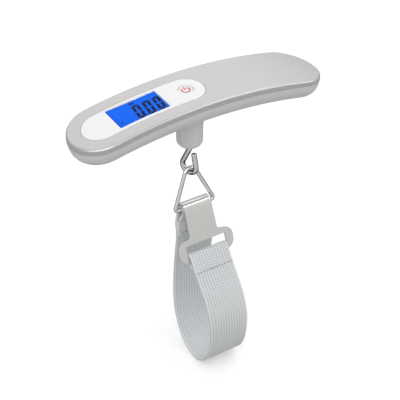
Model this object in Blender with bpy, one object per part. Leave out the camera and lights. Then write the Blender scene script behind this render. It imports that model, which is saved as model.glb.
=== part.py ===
"""Digital luggage scale: a hand-held arched weighing handle with a webbing loop below it.

Metres, +Z up. The origin is the top of the grip at the middle of its length. +X runs along
the grip away from the display, and the loop hangs below the neck.
"""

import math
from dataclasses import dataclass

import bmesh
import bpy
from mathutils import Matrix, Vector

MM = 0.001
GAP = 0.3 * MM  # between pieces that touch on the real object

# Grip: overall plan and arch
GRIP_LENGTH = 150.0 * MM
GRIP_WIDTH = 37.7 * MM
GRIP_END_LENGTH = 17.9 * MM
ARCH_RADIUS = 283.0 * MM

# Steel cover
COVER_THICKNESS = 0.6 * MM
COVER_EDGE_RADIUS = 1.1 * MM
COVER_RIM_DEPTH = 3.0 * MM

# Inner frame under the cover
FRAME_THICKNESS = 1.2 * MM
FRAME_PILLAR_RADIUS = 1.7 * MM
PILLAR_JOINT_DEPTH = 6.0 * MM

# Lower housing, with the neck moulded on
HOUSING_INSET = 0.3 * MM
HOUSING_BELLY_RUN = 11.7 * MM
HOUSING_DEPTH = 15.0 * MM
HOUSING_WALL = 1.6 * MM
HOUSING_PILLAR_RADIUS = 3.1 * MM

NECK_X = -5.3 * MM
NECK_RADIUS = 7.3 * MM
NECK_BOTTOM = -35.0 * MM
NECK_EDGE_RADIUS = 3.6 * MM
NECK_FLARE_HEIGHT = 9.0 * MM
NECK_FLARE_LONG = 6.5 * MM
NECK_FLARE_ACROSS = 2.2 * MM
NECK_BORE_RADIUS = 3.5 * MM

# White display panel with its window and button hole
PANEL_START = -67.4 * MM
PANEL_END = 2.8 * MM
PANEL_HALF_WIDTH = 10.7 * MM
PANEL_PROUD = 0.15 * MM
PANEL_FLANGE_WIDTH = 1.2 * MM
PANEL_FLANGE_THICKNESS = 1.0 * MM
WINDOW_X = -36.0 * MM
WINDOW_LENGTH = 29.2 * MM
WINDOW_WIDTH = 18.0 * MM
WINDOW_CORNER_RADIUS = 0.7 * MM

# Display stack, on a straight board under the arch
BOARD_START = -60.0 * MM
BOARD_END = -3.0 * MM
BOARD_HALF_WIDTH = 11.0 * MM
BOARD_THICKNESS = 1.0 * MM
BOARD_DEPTH = 4.4 * MM
LCD_FACE_HEIGHT = 0.75 * MM
LCD_THICKNESS = 1.6 * MM
ZEBRA_WIDTH = 1.8 * MM
CHIP_SIDE = 12.0 * MM
CHIP_THICKNESS = 1.3 * MM

# Power button
BUTTON_X = -7.4 * MM
BUTTON_RADIUS = 4.05 * MM
BUTTON_RECESS = 0.4 * MM
BUTTON_FLANGE_RADIUS = 5.1 * MM
BUTTON_FLANGE_THICKNESS = 0.5 * MM
BUTTON_TRAVEL = 0.6 * MM
SWITCH_SIDE = 6.0 * MM
SWITCH_BODY_HEIGHT = 0.8 * MM
SWITCH_PLUNGER_RADIUS = 1.4 * MM
SWITCH_PLUNGER_HEIGHT = 0.25 * MM

# Load cell
BEAM_START = -12.0 * MM
BEAM_END = 27.0 * MM
BEAM_HALF_WIDTH = 5.0 * MM
BEAM_BOTTOM = -12.7 * MM
BEAM_TOP = -8.9 * MM
BEAM_WAIST_RADIUS = 1.4 * MM
BEAM_WAISTS = (2.0 * MM, 8.0 * MM)
BEAM_SCREWS = (15.0 * MM, 23.0 * MM)
BEAM_SCREW_RADIUS = 1.25 * MM
BEAM_SCREW_LENGTH = 6.0 * MM
SCREW_HEAD_HEIGHT = 1.3 * MM
STEM_HOLE_RADIUS = 2.2 * MM

# Battery and its twist-off door
BATTERY_X = 42.0 * MM
CELL_RADIUS = 10.0 * MM
CELL_THICKNESS = 3.2 * MM
CELL_TOP_DEPTH = 7.1 * MM
CONTACT_THICKNESS = 0.35 * MM
DOOR_RADIUS = 11.2 * MM
DOOR_THICKNESS = 1.5 * MM
DOOR_FACE_DEPTH = 14.2 * MM
DOOR_LEDGE_THICKNESS = 0.8 * MM
DOOR_LUG_THICKNESS = 0.7 * MM
DOOR_LUG_REACH = 0.9 * MM
DOOR_LUG_ANGLE = math.radians(30)
DOOR_TURN = math.radians(60)
COIN_SLOT_LENGTH = 14.0 * MM
COIN_SLOT_WIDTH = 1.8 * MM
COIN_SLOT_DEPTH = 0.8 * MM
BATTERY_WALL = 1.3 * MM

# Housing screws: (x, y) of each
HOUSING_SCREWS = (
    (-63.6 * MM, -5.0 * MM),
    (-63.6 * MM, 5.0 * MM),
    (62.5 * MM, -6.5 * MM),
    (62.5 * MM, 6.5 * MM),
)
SCREW_RADIUS = 0.85 * MM
SCREW_HEAD_RADIUS = 1.9 * MM
SCREW_SEAT_DEPTH = 10.4 * MM

# Hook: one wire, bent in a plane that turns with the swivel
HOOK_WIRE_RADIUS = 1.55 * MM
HOOK_PLANE_ANGLE = math.radians(23.9)
HOOK_BEND_TOP = -37.0 * MM
HOOK_BEND_RADIUS = 3.0 * MM
HOOK_BOWL_RADIUS = 4.46 * MM
HOOK_BOWL_OFFSET = 0.37 * MM
HOOK_BOWL_Z = -49.1 * MM
HOOK_TIP = (-2.7 * MM, -40.3 * MM)
NUT_HEIGHT = 1.8 * MM
NUT_RADIUS = 3.1 * MM
WASHER_RADIUS = 3.6 * MM
WASHER_THICKNESS = 0.4 * MM

# Triangle ring
RING_WIRE_RADIUS = 1.15 * MM
RING_HALF_WIDTH = 12.8 * MM
RING_APEX_CLEARANCE = 1.0 * MM
RING_APEX_RADIUS = HOOK_WIRE_RADIUS + RING_WIRE_RADIUS + RING_APEX_CLEARANCE
RING_SEAT_GAP = 0.45 * MM
RING_CORNER_RADIUS = 1.4 * MM
BAR_Y = -4.8 * MM
BAR_Z = -73.2 * MM

# Webbing
WEBBING_WIDTH = 24.6 * MM
WEBBING_WIDTH_AT_BAR = 18.2 * MM
WEBBING_THICKNESS = 1.4 * MM
WEBBING_PLAY = 0.25 * MM
WEBBING_TAPER_LENGTH = 12.0 * MM
SEWN_OFFSET = 1.2 * MM
RING_HEM_Z = -90.0 * MM
CLASP_HEM_LENGTH = 11.0 * MM
FOLD_ANGLE = math.radians(37)
SEAT_LENGTH = 5.0 * MM
SEAT_Y = -23.0 * MM
LOOP_BOTTOM_Z = -168.4 * MM
JOIN_RADIUS = 37.6 * MM

# Clasp plate, in its own plane: distances down from the ring's bar
CLASP_THICKNESS = 1.1 * MM
CLASP_TILT = math.radians(23)
CLASP_TONGUE_HALF = 8.7 * MM
CLASP_WAIST_HALF = 8.85 * MM
CLASP_WAIST_END = 16.0 * MM
CLASP_WAIST_FILLET = 2.2 * MM
CLASP_HALF_WIDTH = 17.7 * MM
CLASP_SHOULDER = 17.6 * MM
CLASP_SHOULDER_RADIUS = 4.8 * MM
CLASP_LENGTH = 29.6 * MM
CLASP_FOOT_RADIUS = 5.5 * MM
CLASP_SLOT_TOP = 20.0 * MM
CLASP_SLOT_BOTTOM = 25.8 * MM
CLASP_SLOT_HALF = 12.8 * MM
CLASP_SLOT_RADIUS = 1.0 * MM

# Leads
LEAD_RADIUS = 0.6 * MM

# Steps that set how smooth the solids are
END_STEPS = 8
SIDE_STEPS = 16
EDGE_STEPS = 4
BELLY_STEPS = 7
ROUND_STEPS = 24
WIRE_SIDES = 14

# What follows from the sizes above
NECK_FLARE_TOP = -(HOUSING_DEPTH - 0.4 * MM)
WRAP_RADIUS = RING_WIRE_RADIUS + WEBBING_PLAY + WEBBING_THICKNESS / 2
CLASP_HOOK_RADIUS = WRAP_RADIUS + WEBBING_THICKNESS / 2 + WEBBING_PLAY + CLASP_THICKNESS / 2
RING_APEX_Z = HOOK_BOWL_Z - HOOK_BOWL_RADIUS + HOOK_WIRE_RADIUS + RING_WIRE_RADIUS + RING_SEAT_GAP
UP = Vector((0.0, 0.0, 1.0))


def arch(x):
    """Height of the grip's top surface at x."""
    return math.sqrt(ARCH_RADIUS**2 - x**2) - ARCH_RADIUS


@dataclass(frozen=True)
class Plan:
    """A long outline with elliptical ends, seen from above."""

    half_length: float
    half_width: float
    end_length: float
    centre_x: float = 0.0

    def side(self, inset):
        """(x, half width) from the left tip to the right tip."""
        half = self.half_length - inset
        width = self.half_width - inset
        end = self.end_length - inset
        angles = [math.pi / 2 * i / END_STEPS for i in range(END_STEPS + 1)]
        left = [(-half + end * (1 - math.cos(a)), width * math.sin(a)) for a in angles]
        run = 2 * (half - end)
        middle = [(-half + end + run * i / SIDE_STEPS, width) for i in range(1, SIDE_STEPS)]
        right = [(-x, y) for x, y in reversed(left)]
        return [(self.centre_x + x, y) for x, y in left + middle + right]

    def grown(self, by):
        return Plan(self.half_length + by, self.half_width + by, self.end_length + by, self.centre_x)


GRIP = Plan(GRIP_LENGTH / 2, GRIP_WIDTH / 2, GRIP_END_LENGTH)
PANEL = Plan(
    (PANEL_END - PANEL_START) / 2,
    PANEL_HALF_WIDTH,
    PANEL_HALF_WIDTH,
    (PANEL_END + PANEL_START) / 2,
)


# ---------------------------------------------------------------- objects


def clear_scene():
    for obj in list(bpy.data.objects):
        bpy.data.objects.remove(obj, do_unlink=True)


def finish(name, colour, roughness, metallic=0.0):
    """A Principled material."""
    made = bpy.data.materials.new(name)
    made.use_nodes = True
    shader = made.node_tree.nodes["Principled BSDF"]
    shader.inputs["Base Color"].default_value = (*colour, 1.0)
    shader.inputs["Roughness"].default_value = roughness
    shader.inputs["Metallic"].default_value = metallic
    made.diffuse_color = (*colour, 1.0)
    return made


def to_object(name, bm, material=None, smooth=True):
    """Closes off a bmesh as an object with its faces pointing out."""
    bmesh.ops.remove_doubles(bm, verts=bm.verts, dist=1e-7)
    bmesh.ops.recalc_face_normals(bm, faces=bm.faces)
    mesh = bpy.data.meshes.new(name)
    bm.to_mesh(mesh)
    bm.free()
    if smooth:
        mesh.shade_smooth()
        mesh.set_sharp_from_angle(angle=math.radians(35))
    obj = bpy.data.objects.new(name, mesh)
    bpy.context.scene.collection.objects.link(obj)
    if material:
        mesh.materials.append(material)
    return obj


def boolean(obj, other, operation):
    """Cuts other from obj, or joins it on, and hides it as a helper."""
    modifier = obj.modifiers.new(f"{operation.lower()} {other.name}", "BOOLEAN")
    modifier.operation = operation
    modifier.solver = "EXACT"
    modifier.object = other
    other.hide_render = True
    other.display_type = "WIRE"
    return obj


def cut(obj, *others):
    for other in others:
        boolean(obj, other, "DIFFERENCE")
    return obj


def join(obj, *others):
    for other in others:
        boolean(obj, other, "UNION")
    return obj


def set_origin(obj, place):
    """Moves an object's origin to a joint's axis and leaves its shape where it is."""
    obj.data.transform(Matrix.Translation(-place))
    obj.location = place
    return obj


def axis_empty(name, place, parent=None):
    empty = bpy.data.objects.new(name, None)
    empty.empty_display_size = 5 * MM
    empty.location = place - (parent.matrix_world.translation if parent else Vector())
    empty.parent = parent
    bpy.context.scene.collection.objects.link(empty)
    bpy.context.view_layer.update()
    return empty


def hang(empty, *objects):
    """Parents pieces to the empty on their joint's axis."""
    for obj in objects:
        set_origin(obj, empty.matrix_world.translation.copy())
        obj.location = Vector()
        obj.parent = empty


# ---------------------------------------------------------------- shapes


def bridged(rings, closed=True):
    """A bmesh with a band of quads between each ring and the next."""
    bm = bmesh.new()
    made = [[bm.verts.new(point) for point in ring] for ring in rings]
    pairs = list(zip(made, made[1:]))
    if not closed:
        pairs.append((made[-1], made[0]))
    for first, second in pairs:
        for i in range(len(first)):
            j = (i + 1) % len(first)
            bm.faces.new((first[i], first[j], second[j], second[i]))
    return bm, made


def cap_arched(bm, ring):
    """Closes a plan ring with strips from side to side, which follow the arch."""
    half = len(ring) // 2
    for i in range(half):
        quad = [ring[i], ring[i + 1], ring[-i - 1], ring[-i]]
        bm.faces.new(dict.fromkeys(quad))


def plan_ring(plan, inset, depth):
    """Ring of a plan at a depth under the arch, from the left tip round."""
    side = plan.side(inset)
    near = [(x, -y) for x, y in reversed(side[1:-1])]
    return [Vector((x, y, arch(x) - depth)) for x, y in side + near]


def arched_solid(name, plan, steps, material=None):
    """Solid lofted through (inset, depth) steps, both ends closed along the arch."""
    bm, made = bridged([plan_ring(plan, inset, depth) for inset, depth in steps])
    cap_arched(bm, made[0])
    cap_arched(bm, made[-1])
    return to_object(name, bm, material)


def turned(name, profile, material=None, place=None, steps=ROUND_STEPS):
    """Solid turned about Z from (radius, height) steps, both ends closed flat."""
    rings = []
    for radius, height in profile:
        angles = [2 * math.pi * i / steps for i in range(steps)]
        rings.append([Vector((radius * math.cos(a), radius * math.sin(a), height)) for a in angles])
    bm, made = bridged(rings)
    bm.faces.new(made[0])
    bm.faces.new(made[-1])
    bm.transform(place or Matrix())
    return to_object(name, bm, material)


def turned_ring(name, profile, material=None, place=None, steps=ROUND_STEPS):
    """Ring turned about Z from a closed (radius, height) profile."""
    rings = []
    for i in range(steps):
        a = 2 * math.pi * i / steps
        rings.append([Vector((r * math.cos(a), r * math.sin(a), h)) for r, h in profile])
    bm, _ = bridged(rings, closed=False)
    bm.transform(place or Matrix())
    return to_object(name, bm, material)


def block(name, low, high, material=None, place=None, radius=0.0):
    """Box between two corners, its upright edges rounded by radius."""
    if radius:
        corners = [(low[0], low[1]), (high[0], low[1]), (high[0], high[1]), (low[0], high[1])]
        outline = rounded([(x, y, radius) for x, y in corners])
    else:
        outline = [(low[0], low[1]), (high[0], low[1]), (high[0], high[1]), (low[0], high[1])]
    return prism(name, outline, low[2], high[2], material, place)


def prism(name, outline, bottom, top, material=None, place=None, put=None):
    """Outline in the plane, extruded from bottom to top. put maps (u, v, w) to a point."""
    put = put or (lambda u, v, w: Vector((u, v, w)))
    bm, made = bridged([[put(u, v, w) for u, v in outline] for w in (bottom, top)])
    bm.faces.new(made[0])
    bm.faces.new(made[-1])
    bm.transform(place or Matrix())
    return to_object(name, bm, material)


def rounded(corners, steps=4):
    """Outline with each (u, v, radius) corner turned into an arc."""
    outline = []
    count = len(corners)
    for i, (u, v, radius) in enumerate(corners):
        here = Vector((u, v))
        if radius <= 0:
            outline.append((u, v))
            continue
        before = (Vector(corners[i - 1][:2]) - here).normalized()
        after = (Vector(corners[(i + 1) % count][:2]) - here).normalized()
        half_angle = before.angle(after) / 2
        centre = here + (before + after).normalized() * radius / math.sin(half_angle)
        start = here + before * radius / math.tan(half_angle) - centre
        end = here + after * radius / math.tan(half_angle) - centre
        for k in range(steps + 1):
            arm = start.slerp(end, k / steps) if start.angle(end) < 3.1 else start
            outline.append(tuple(centre + arm.normalized() * radius))
    return outline


def arc(centre, radius, start, end, steps):
    """Points on an arc in the (h, z) plane, angles in radians."""
    turns = [start + (end - start) * i / steps for i in range(steps + 1)]
    return [(centre[0] + radius * math.cos(a), centre[1] + radius * math.sin(a)) for a in turns]


def tube(name, points, radius, material=None, closed=False, sides=WIRE_SIDES):
    """Round wire along points, with flat ends unless it is closed."""
    count = len(points)
    rings = []
    across = None
    for i, point in enumerate(points):
        if closed:
            along = (points[(i + 1) % count] - points[i - 1]).normalized()
        else:
            along = (points[min(i + 1, count - 1)] - points[max(i - 1, 0)]).normalized()
        if across is None:
            across = along.orthogonal().normalized()
        across = (across - along * across.dot(along)).normalized()
        other = along.cross(across)
        turns = [2 * math.pi * k / sides for k in range(sides)]
        rings.append([point + radius * (math.cos(a) * across + math.sin(a) * other) for a in turns])
    bm, made = bridged(rings, closed=not closed)
    if not closed:
        bm.faces.new(made[0])
        bm.faces.new(made[-1])
    return to_object(name, bm, material)


def smooth_route(points, steps=4):
    """Catmull-Rom curve through the points."""
    ends = [points[0] * 2 - points[1], *points, points[-1] * 2 - points[-2]]
    route = []
    for a, b, c, d in zip(ends, ends[1:], ends[2:], ends[3:]):
        for k in range(steps):
            t = k / steps
            route.append(
                0.5
                * (2 * b + (c - a) * t + (2 * a - 5 * b + 4 * c - d) * t**2 + (3 * b - a - 3 * c + d) * t**3)
            )
    route.append(points[-1])
    return route


def strip(name, route, half_width, material=None):
    """Flat webbing along (y, z) points. half_width(distance) gives its half width."""
    count = len(route)
    rings = []
    distance = 0.0
    for i, point in enumerate(route):
        if i:
            distance += (point - route[i - 1]).length
        along = (route[min(i + 1, count - 1)] - route[max(i - 1, 0)]).normalized()
        out = Vector((-along.y, along.x)) * WEBBING_THICKNESS / 2
        half = half_width(distance)
        corners = [(half, out), (-half, out), (-half, -out), (half, -out)]
        rings.append([Vector((NECK_X + x, *(point + offset))) for x, offset in corners])
    bm, made = bridged(rings)
    bm.faces.new(made[0])
    bm.faces.new(made[-1])
    return to_object(name, bm, material, smooth=False)


# ---------------------------------------------------------------- grip


def edge_steps(inset, depth, radius):
    """(inset, depth) steps round an upper edge, from the top face to the side."""
    angles = [math.pi / 2 * i / EDGE_STEPS for i in range(EDGE_STEPS + 1)]
    return [(inset + radius * (1 - math.sin(a)), depth + radius * (1 - math.cos(a))) for a in angles]


def top_cover(material):
    outer = edge_steps(0.0, 0.0, COVER_EDGE_RADIUS) + [(0.0, COVER_RIM_DEPTH)]
    inner_radius = COVER_EDGE_RADIUS - COVER_THICKNESS
    inner = [(COVER_THICKNESS, COVER_RIM_DEPTH)]
    inner += reversed(edge_steps(COVER_THICKNESS, COVER_THICKNESS, inner_radius))
    cover = arched_solid("top_cover", GRIP, outer + inner, material)
    opening = arched_solid("panel_opening", PANEL.grown(GAP), [(0, -3 * MM), (0, 6 * MM)])
    return cut(cover, opening)


def screw_pillars(name, radius, top_depth, bottom_depth, screws=HOUSING_SCREWS):
    """A round pillar at each of the screws."""
    pillars = []
    for i, (x, y) in enumerate(screws, 1):
        place = Matrix.Translation((x, y, arch(x)))
        profile = [(radius, -top_depth), (radius, -bottom_depth)]
        pillars.append(turned(f"{name}_{i}", profile, place=place, steps=16))
    return pillars


def upper_frame(material):
    inset = COVER_THICKNESS + GAP
    top = COVER_THICKNESS + GAP
    frame = arched_solid(
        "upper_frame",
        GRIP,
        [(inset + 0.4 * MM, top), (inset, top + 0.4 * MM), (inset, top + FRAME_THICKNESS)],
        material,
    )
    around = PANEL.grown(PANEL_FLANGE_WIDTH + GAP)
    opening = arched_solid("frame_opening", around, [(0, -2 * MM), (0, 5 * MM)])
    cut(frame, opening)
    return add_screw_bosses(frame, "frame", top + FRAME_THICKNESS / 2, HOUSING_SCREWS[2:])


def add_screw_bosses(obj, name, top_depth, screws):
    """Adds the bosses that take the housing screws, each with its pilot hole."""
    join(obj, *screw_pillars(f"{name}_boss", FRAME_PILLAR_RADIUS, top_depth, PILLAR_JOINT_DEPTH, screws))
    pilot_top = top_depth + FRAME_THICKNESS / 2 + 0.6 * MM
    pilot_bottom = PILLAR_JOINT_DEPTH + 2 * MM
    pilots = screw_pillars(f"{name}_pilot", SCREW_RADIUS + GAP, pilot_top, pilot_bottom, screws)
    return cut(obj, *pilots)


def display_panel(material):
    flange_top = COVER_THICKNESS + GAP
    flange_bottom = flange_top + PANEL_FLANGE_THICKNESS
    edge = edge_steps(0.0, -PANEL_PROUD, 0.3 * MM)
    steps = edge + [(0, flange_top), (-PANEL_FLANGE_WIDTH, flange_top), (-PANEL_FLANGE_WIDTH, flange_bottom)]
    panel = arched_solid("display_panel", PANEL, steps, material)
    window = block(
        "window_opening",
        (-WINDOW_LENGTH / 2, -WINDOW_WIDTH / 2, -10 * MM),
        (WINDOW_LENGTH / 2, WINDOW_WIDTH / 2, 10 * MM),
        place=Matrix.Translation((WINDOW_X, 0, arch(WINDOW_X))) @ board_tilt(),
        radius=WINDOW_CORNER_RADIUS,
    )
    hole = turned(
        "button_hole",
        [(BUTTON_RADIUS + GAP, 6 * MM), (BUTTON_RADIUS + GAP, -6 * MM)],
        place=Matrix.Translation((BUTTON_X, 0, 0)),
    )
    cut(panel, window, hole)
    return add_screw_bosses(panel, "panel", flange_top + PANEL_FLANGE_THICKNESS / 2, HOUSING_SCREWS[:2])


def board_tilt():
    slope = (arch(BOARD_END) - arch(BOARD_START)) / (BOARD_END - BOARD_START)
    return Matrix.Rotation(-math.atan(slope), 4, "Y")


def board_place():
    """From the board's own frame: on the chord between its ends, +Z square to it."""
    middle = Vector(((BOARD_START + BOARD_END) / 2, 0, (arch(BOARD_START) + arch(BOARD_END)) / 2))
    return Matrix.Translation(middle) @ board_tilt()


def display_stack(materials):
    """The display cell, its light, its connector and the board with what is on it."""
    place = board_place()
    inverse = place.inverted()
    window = (inverse @ Vector((WINDOW_X, 0, arch(WINDOW_X)))).x
    half_length = WINDOW_LENGTH / 2 - GAP
    half_width = WINDOW_WIDTH / 2 - GAP
    lcd_bottom = LCD_FACE_HEIGHT - LCD_THICKNESS
    board_top = -BOARD_DEPTH
    lcd = block(
        "lcd_cell",
        (window - half_length, -half_width, lcd_bottom),
        (window + half_length, half_width, LCD_FACE_HEIGHT),
        materials["lcd"],
        place,
        WINDOW_CORNER_RADIUS / 2,
    )
    light_high = (window + half_length, half_width - ZEBRA_WIDTH - 2 * GAP, lcd_bottom - GAP)
    light = block(
        "backlight_panel",
        (window - half_length, -half_width, board_top + GAP),
        light_high,
        materials["white"],
        place,
    )
    zebra = block(
        "zebra_strip",
        (window - half_length + 1 * MM, half_width - ZEBRA_WIDTH, board_top + GAP),
        (window + half_length - 1 * MM, half_width, lcd_bottom - GAP),
        materials["rubber"],
        place,
    )
    half_board = (BOARD_END - BOARD_START) / 2
    board = block(
        "circuit_board",
        (-half_board, -BOARD_HALF_WIDTH, board_top - BOARD_THICKNESS),
        (half_board, BOARD_HALF_WIDTH, board_top),
        materials["board"],
        place,
        1.5 * MM,
    )
    chip_top = board_top - BOARD_THICKNESS - GAP
    chip = block(
        "controller_chip",
        (-CHIP_SIDE, -CHIP_SIDE / 2, chip_top - CHIP_THICKNESS),
        (0, CHIP_SIDE / 2, chip_top),
        materials["black"],
        place,
        1.0 * MM,
    )
    return [lcd, light, zebra, board, chip, tact_switch(materials["black"], place, board_top)]


def tact_switch(material, place, board_top):
    x = (place.inverted() @ Vector((BUTTON_X, 0, arch(BUTTON_X)))).x
    half = SWITCH_SIDE / 2
    bottom = board_top + GAP
    top = bottom + SWITCH_BODY_HEIGHT
    switch = block("tact_switch", (x - half, -half, bottom), (x + half, half, top), material, place)
    plunger = turned(
        "switch_plunger",
        [(SWITCH_PLUNGER_RADIUS, top + SWITCH_PLUNGER_HEIGHT), (SWITCH_PLUNGER_RADIUS, top - 0.3 * MM)],
        place=place @ Matrix.Translation((x, 0, 0)),
        steps=16,
    )
    return join(switch, plunger)


def power_button(material):
    top = arch(BUTTON_X) + PANEL_PROUD - BUTTON_RECESS
    panel_bottom = COVER_THICKNESS + GAP + PANEL_FLANGE_THICKNESS
    flange_top = arch(BUTTON_X) - panel_bottom - GAP
    flange_bottom = flange_top - BUTTON_FLANGE_THICKNESS
    dish = 0.15 * MM
    profile = [
        (BUTTON_RADIUS * 0.3, top - dish),
        (BUTTON_RADIUS * 0.7, top - dish * 0.6),
        (BUTTON_RADIUS - 0.4 * MM, top),
        (BUTTON_RADIUS, top - 0.3 * MM),
        (BUTTON_RADIUS, flange_top),
        (BUTTON_FLANGE_RADIUS, flange_top),
        (BUTTON_FLANGE_RADIUS, flange_bottom),
    ]
    return turned("power_button", profile, material, Matrix.Translation((BUTTON_X, 0, 0)))


def belly_steps(wall):
    """(inset, depth) steps of the housing's rounded underside, a wall's thickness in."""
    top = COVER_RIM_DEPTH + GAP
    steps = []
    for i in range(BELLY_STEPS + 1):
        a = math.pi / 2 * i / BELLY_STEPS
        inset = HOUSING_INSET + wall + (HOUSING_BELLY_RUN - wall) * (1 - math.cos(a))
        steps.append((inset, top + (HOUSING_DEPTH - top - wall) * math.sin(a)))
    return steps


def neck(name):
    """The neck below the housing: an oval flare that runs down to a round, soft-ended bulb."""
    sizes = []
    for i in range(7):
        a = math.pi / 2 * (1 - i / 6)
        reach = 1 - math.cos(a)
        height = NECK_FLARE_TOP - NECK_FLARE_HEIGHT * (1 - math.sin(a))
        sizes.append((NECK_RADIUS + NECK_FLARE_LONG * reach, NECK_RADIUS + NECK_FLARE_ACROSS * reach, height))
    for i in range(6):
        a = math.pi / 2 * i / 5
        radius = NECK_RADIUS - NECK_EDGE_RADIUS * (1 - math.cos(a))
        sizes.append((radius, radius, NECK_BOTTOM + NECK_EDGE_RADIUS * (1 - math.sin(a))))
    first = sizes[0]
    sizes.insert(0, (first[0], first[1], first[2] + 0.8 * MM))
    rings = []
    for long, across, height in sizes:
        angles = [2 * math.pi * k / ROUND_STEPS for k in range(ROUND_STEPS)]
        rings.append([Vector((NECK_X + long * math.cos(a), across * math.sin(a), height)) for a in angles])
    bm, made = bridged(rings)
    bm.faces.new(made[0])
    bm.faces.new(made[-1])
    return to_object(name, bm)


def lower_housing(material):
    steps = list(reversed(belly_steps(0.0))) + belly_steps(HOUSING_WALL)
    housing = arched_solid("lower_housing", GRIP, steps, material)
    join(housing, neck("neck_solid"))
    inside = arched_solid("housing_inside", GRIP, belly_steps(HOUSING_WALL / 3))
    place = battery_place()
    outer = door_seat_radius() + BATTERY_WALL
    tube_profile = [(outer, -(CELL_TOP_DEPTH - 1 * MM)), (outer, -HOUSING_DEPTH)]
    pillars = screw_pillars("housing_pillar", HOUSING_PILLAR_RADIUS, PILLAR_JOINT_DEPTH + GAP, HOUSING_DEPTH)
    for solid in (*pillars, turned("battery_tube", tube_profile, place=place, steps=36)):
        join(housing, boolean(solid, inside, "INTERSECT"))
    floor = HOUSING_DEPTH - HOUSING_WALL
    pads = []
    for i, x in enumerate(BEAM_SCREWS, 1):
        pad = [(3.4 * MM, BEAM_BOTTOM - GAP), (3.4 * MM, arch(x) - floor - 0.8 * MM)]
        pads.append(turned(f"beam_pad_{i}", pad, place=Matrix.Translation((x, 0, 0)), steps=16))
    join(housing, *pads)
    cut(housing, *battery_cutters(place))
    bore = [(NECK_BORE_RADIUS, -5 * MM), (NECK_BORE_RADIUS, NECK_BOTTOM - 2 * MM)]
    cut(housing, turned("neck_bore", bore, place=Matrix.Translation((NECK_X, 0, 0))))
    for i, x in enumerate(BEAM_SCREWS, 1):
        hole = [(BEAM_SCREW_RADIUS + GAP, BEAM_TOP), (BEAM_SCREW_RADIUS + GAP, BEAM_TOP - BEAM_SCREW_LENGTH)]
        cut(housing, turned(f"beam_screw_hole_{i}", hole, place=Matrix.Translation((x, 0, 0)), steps=16))
    cut(housing, *screw_pillars("housing_screw_hole", SCREW_RADIUS + GAP, 4 * MM, HOUSING_DEPTH))
    below = HOUSING_DEPTH + 4 * MM
    cut(housing, *screw_pillars("screw_counterbore", SCREW_HEAD_RADIUS + GAP, SCREW_SEAT_DEPTH, below))
    return housing


def housing_screws(material):
    for i, (x, y) in enumerate(HOUSING_SCREWS, 1):
        seat = arch(x) - SCREW_SEAT_DEPTH - GAP
        tip = arch(x) - COVER_THICKNESS - FRAME_THICKNESS - 1.8 * MM
        profile = [
            (SCREW_RADIUS * 0.4, tip),
            (SCREW_RADIUS, tip - 0.8 * MM),
            (SCREW_RADIUS, seat),
            (SCREW_HEAD_RADIUS, seat),
            (SCREW_HEAD_RADIUS, seat - SCREW_HEAD_HEIGHT * 0.6),
            (SCREW_HEAD_RADIUS * 0.6, seat - SCREW_HEAD_HEIGHT),
        ]
        turned(f"housing_screw_{i}", profile, material, Matrix.Translation((x, y, 0)), steps=14)


# ---------------------------------------------------------------- load cell


def load_cell(material):
    beam = block(
        "load_cell",
        (BEAM_START, -BEAM_HALF_WIDTH, BEAM_BOTTOM),
        (BEAM_END, BEAM_HALF_WIDTH, BEAM_TOP),
        material,
        radius=1.0 * MM,
    )
    middle = (BEAM_TOP + BEAM_BOTTOM) / 2
    for i, x in enumerate(BEAM_WAISTS, 1):
        place = Matrix.Translation((x, 0, middle)) @ Matrix.Rotation(math.pi / 2, 4, "X")
        hole = [(BEAM_WAIST_RADIUS, 8 * MM), (BEAM_WAIST_RADIUS, -8 * MM)]
        cut(beam, turned(f"waist_hole_{i}", hole, place=place, steps=16))
    slit = 0.4 * MM
    slit_low = (BEAM_WAISTS[0], -8 * MM, middle - slit)
    cut(beam, block("waist_slit", slit_low, (BEAM_WAISTS[1], 8 * MM, middle + slit)))
    stem = [(STEM_HOLE_RADIUS, BEAM_TOP + 2 * MM), (STEM_HOLE_RADIUS, BEAM_BOTTOM - 2 * MM)]
    cut(beam, turned("stem_hole", stem, place=Matrix.Translation((NECK_X, 0, 0)), steps=16))
    for i, x in enumerate(BEAM_SCREWS, 1):
        hole = [(BEAM_SCREW_RADIUS + GAP, BEAM_TOP + 2 * MM), (BEAM_SCREW_RADIUS + GAP, BEAM_BOTTOM - 2 * MM)]
        cut(beam, turned(f"beam_hole_{i}", hole, place=Matrix.Translation((x, 0, 0)), steps=16))
    return beam


def load_cell_screws(material):
    for i, x in enumerate(BEAM_SCREWS, 1):
        head = BEAM_TOP + GAP
        tip = head - BEAM_SCREW_LENGTH + GAP
        profile = [
            (BEAM_SCREW_RADIUS * 1.2, head + SCREW_HEAD_HEIGHT),
            (BEAM_SCREW_RADIUS * 1.8, head + SCREW_HEAD_HEIGHT * 0.5),
            (BEAM_SCREW_RADIUS * 1.8, head),
            (BEAM_SCREW_RADIUS, head),
            (BEAM_SCREW_RADIUS, tip + 0.6 * MM),
            (BEAM_SCREW_RADIUS * 0.5, tip),
        ]
        turned(f"load_cell_screw_{i}", profile, material, Matrix.Translation((x, 0, 0)), steps=14)


def gauge_cover(material):
    middle = sum(BEAM_WAISTS) / 2
    return block(
        "gauge_cover",
        (middle - 3.5 * MM, -3.5 * MM, BEAM_TOP + GAP),
        (middle + 3.5 * MM, 3.5 * MM, BEAM_TOP + GAP + 0.6 * MM),
        material,
        radius=1.0 * MM,
    )


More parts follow.
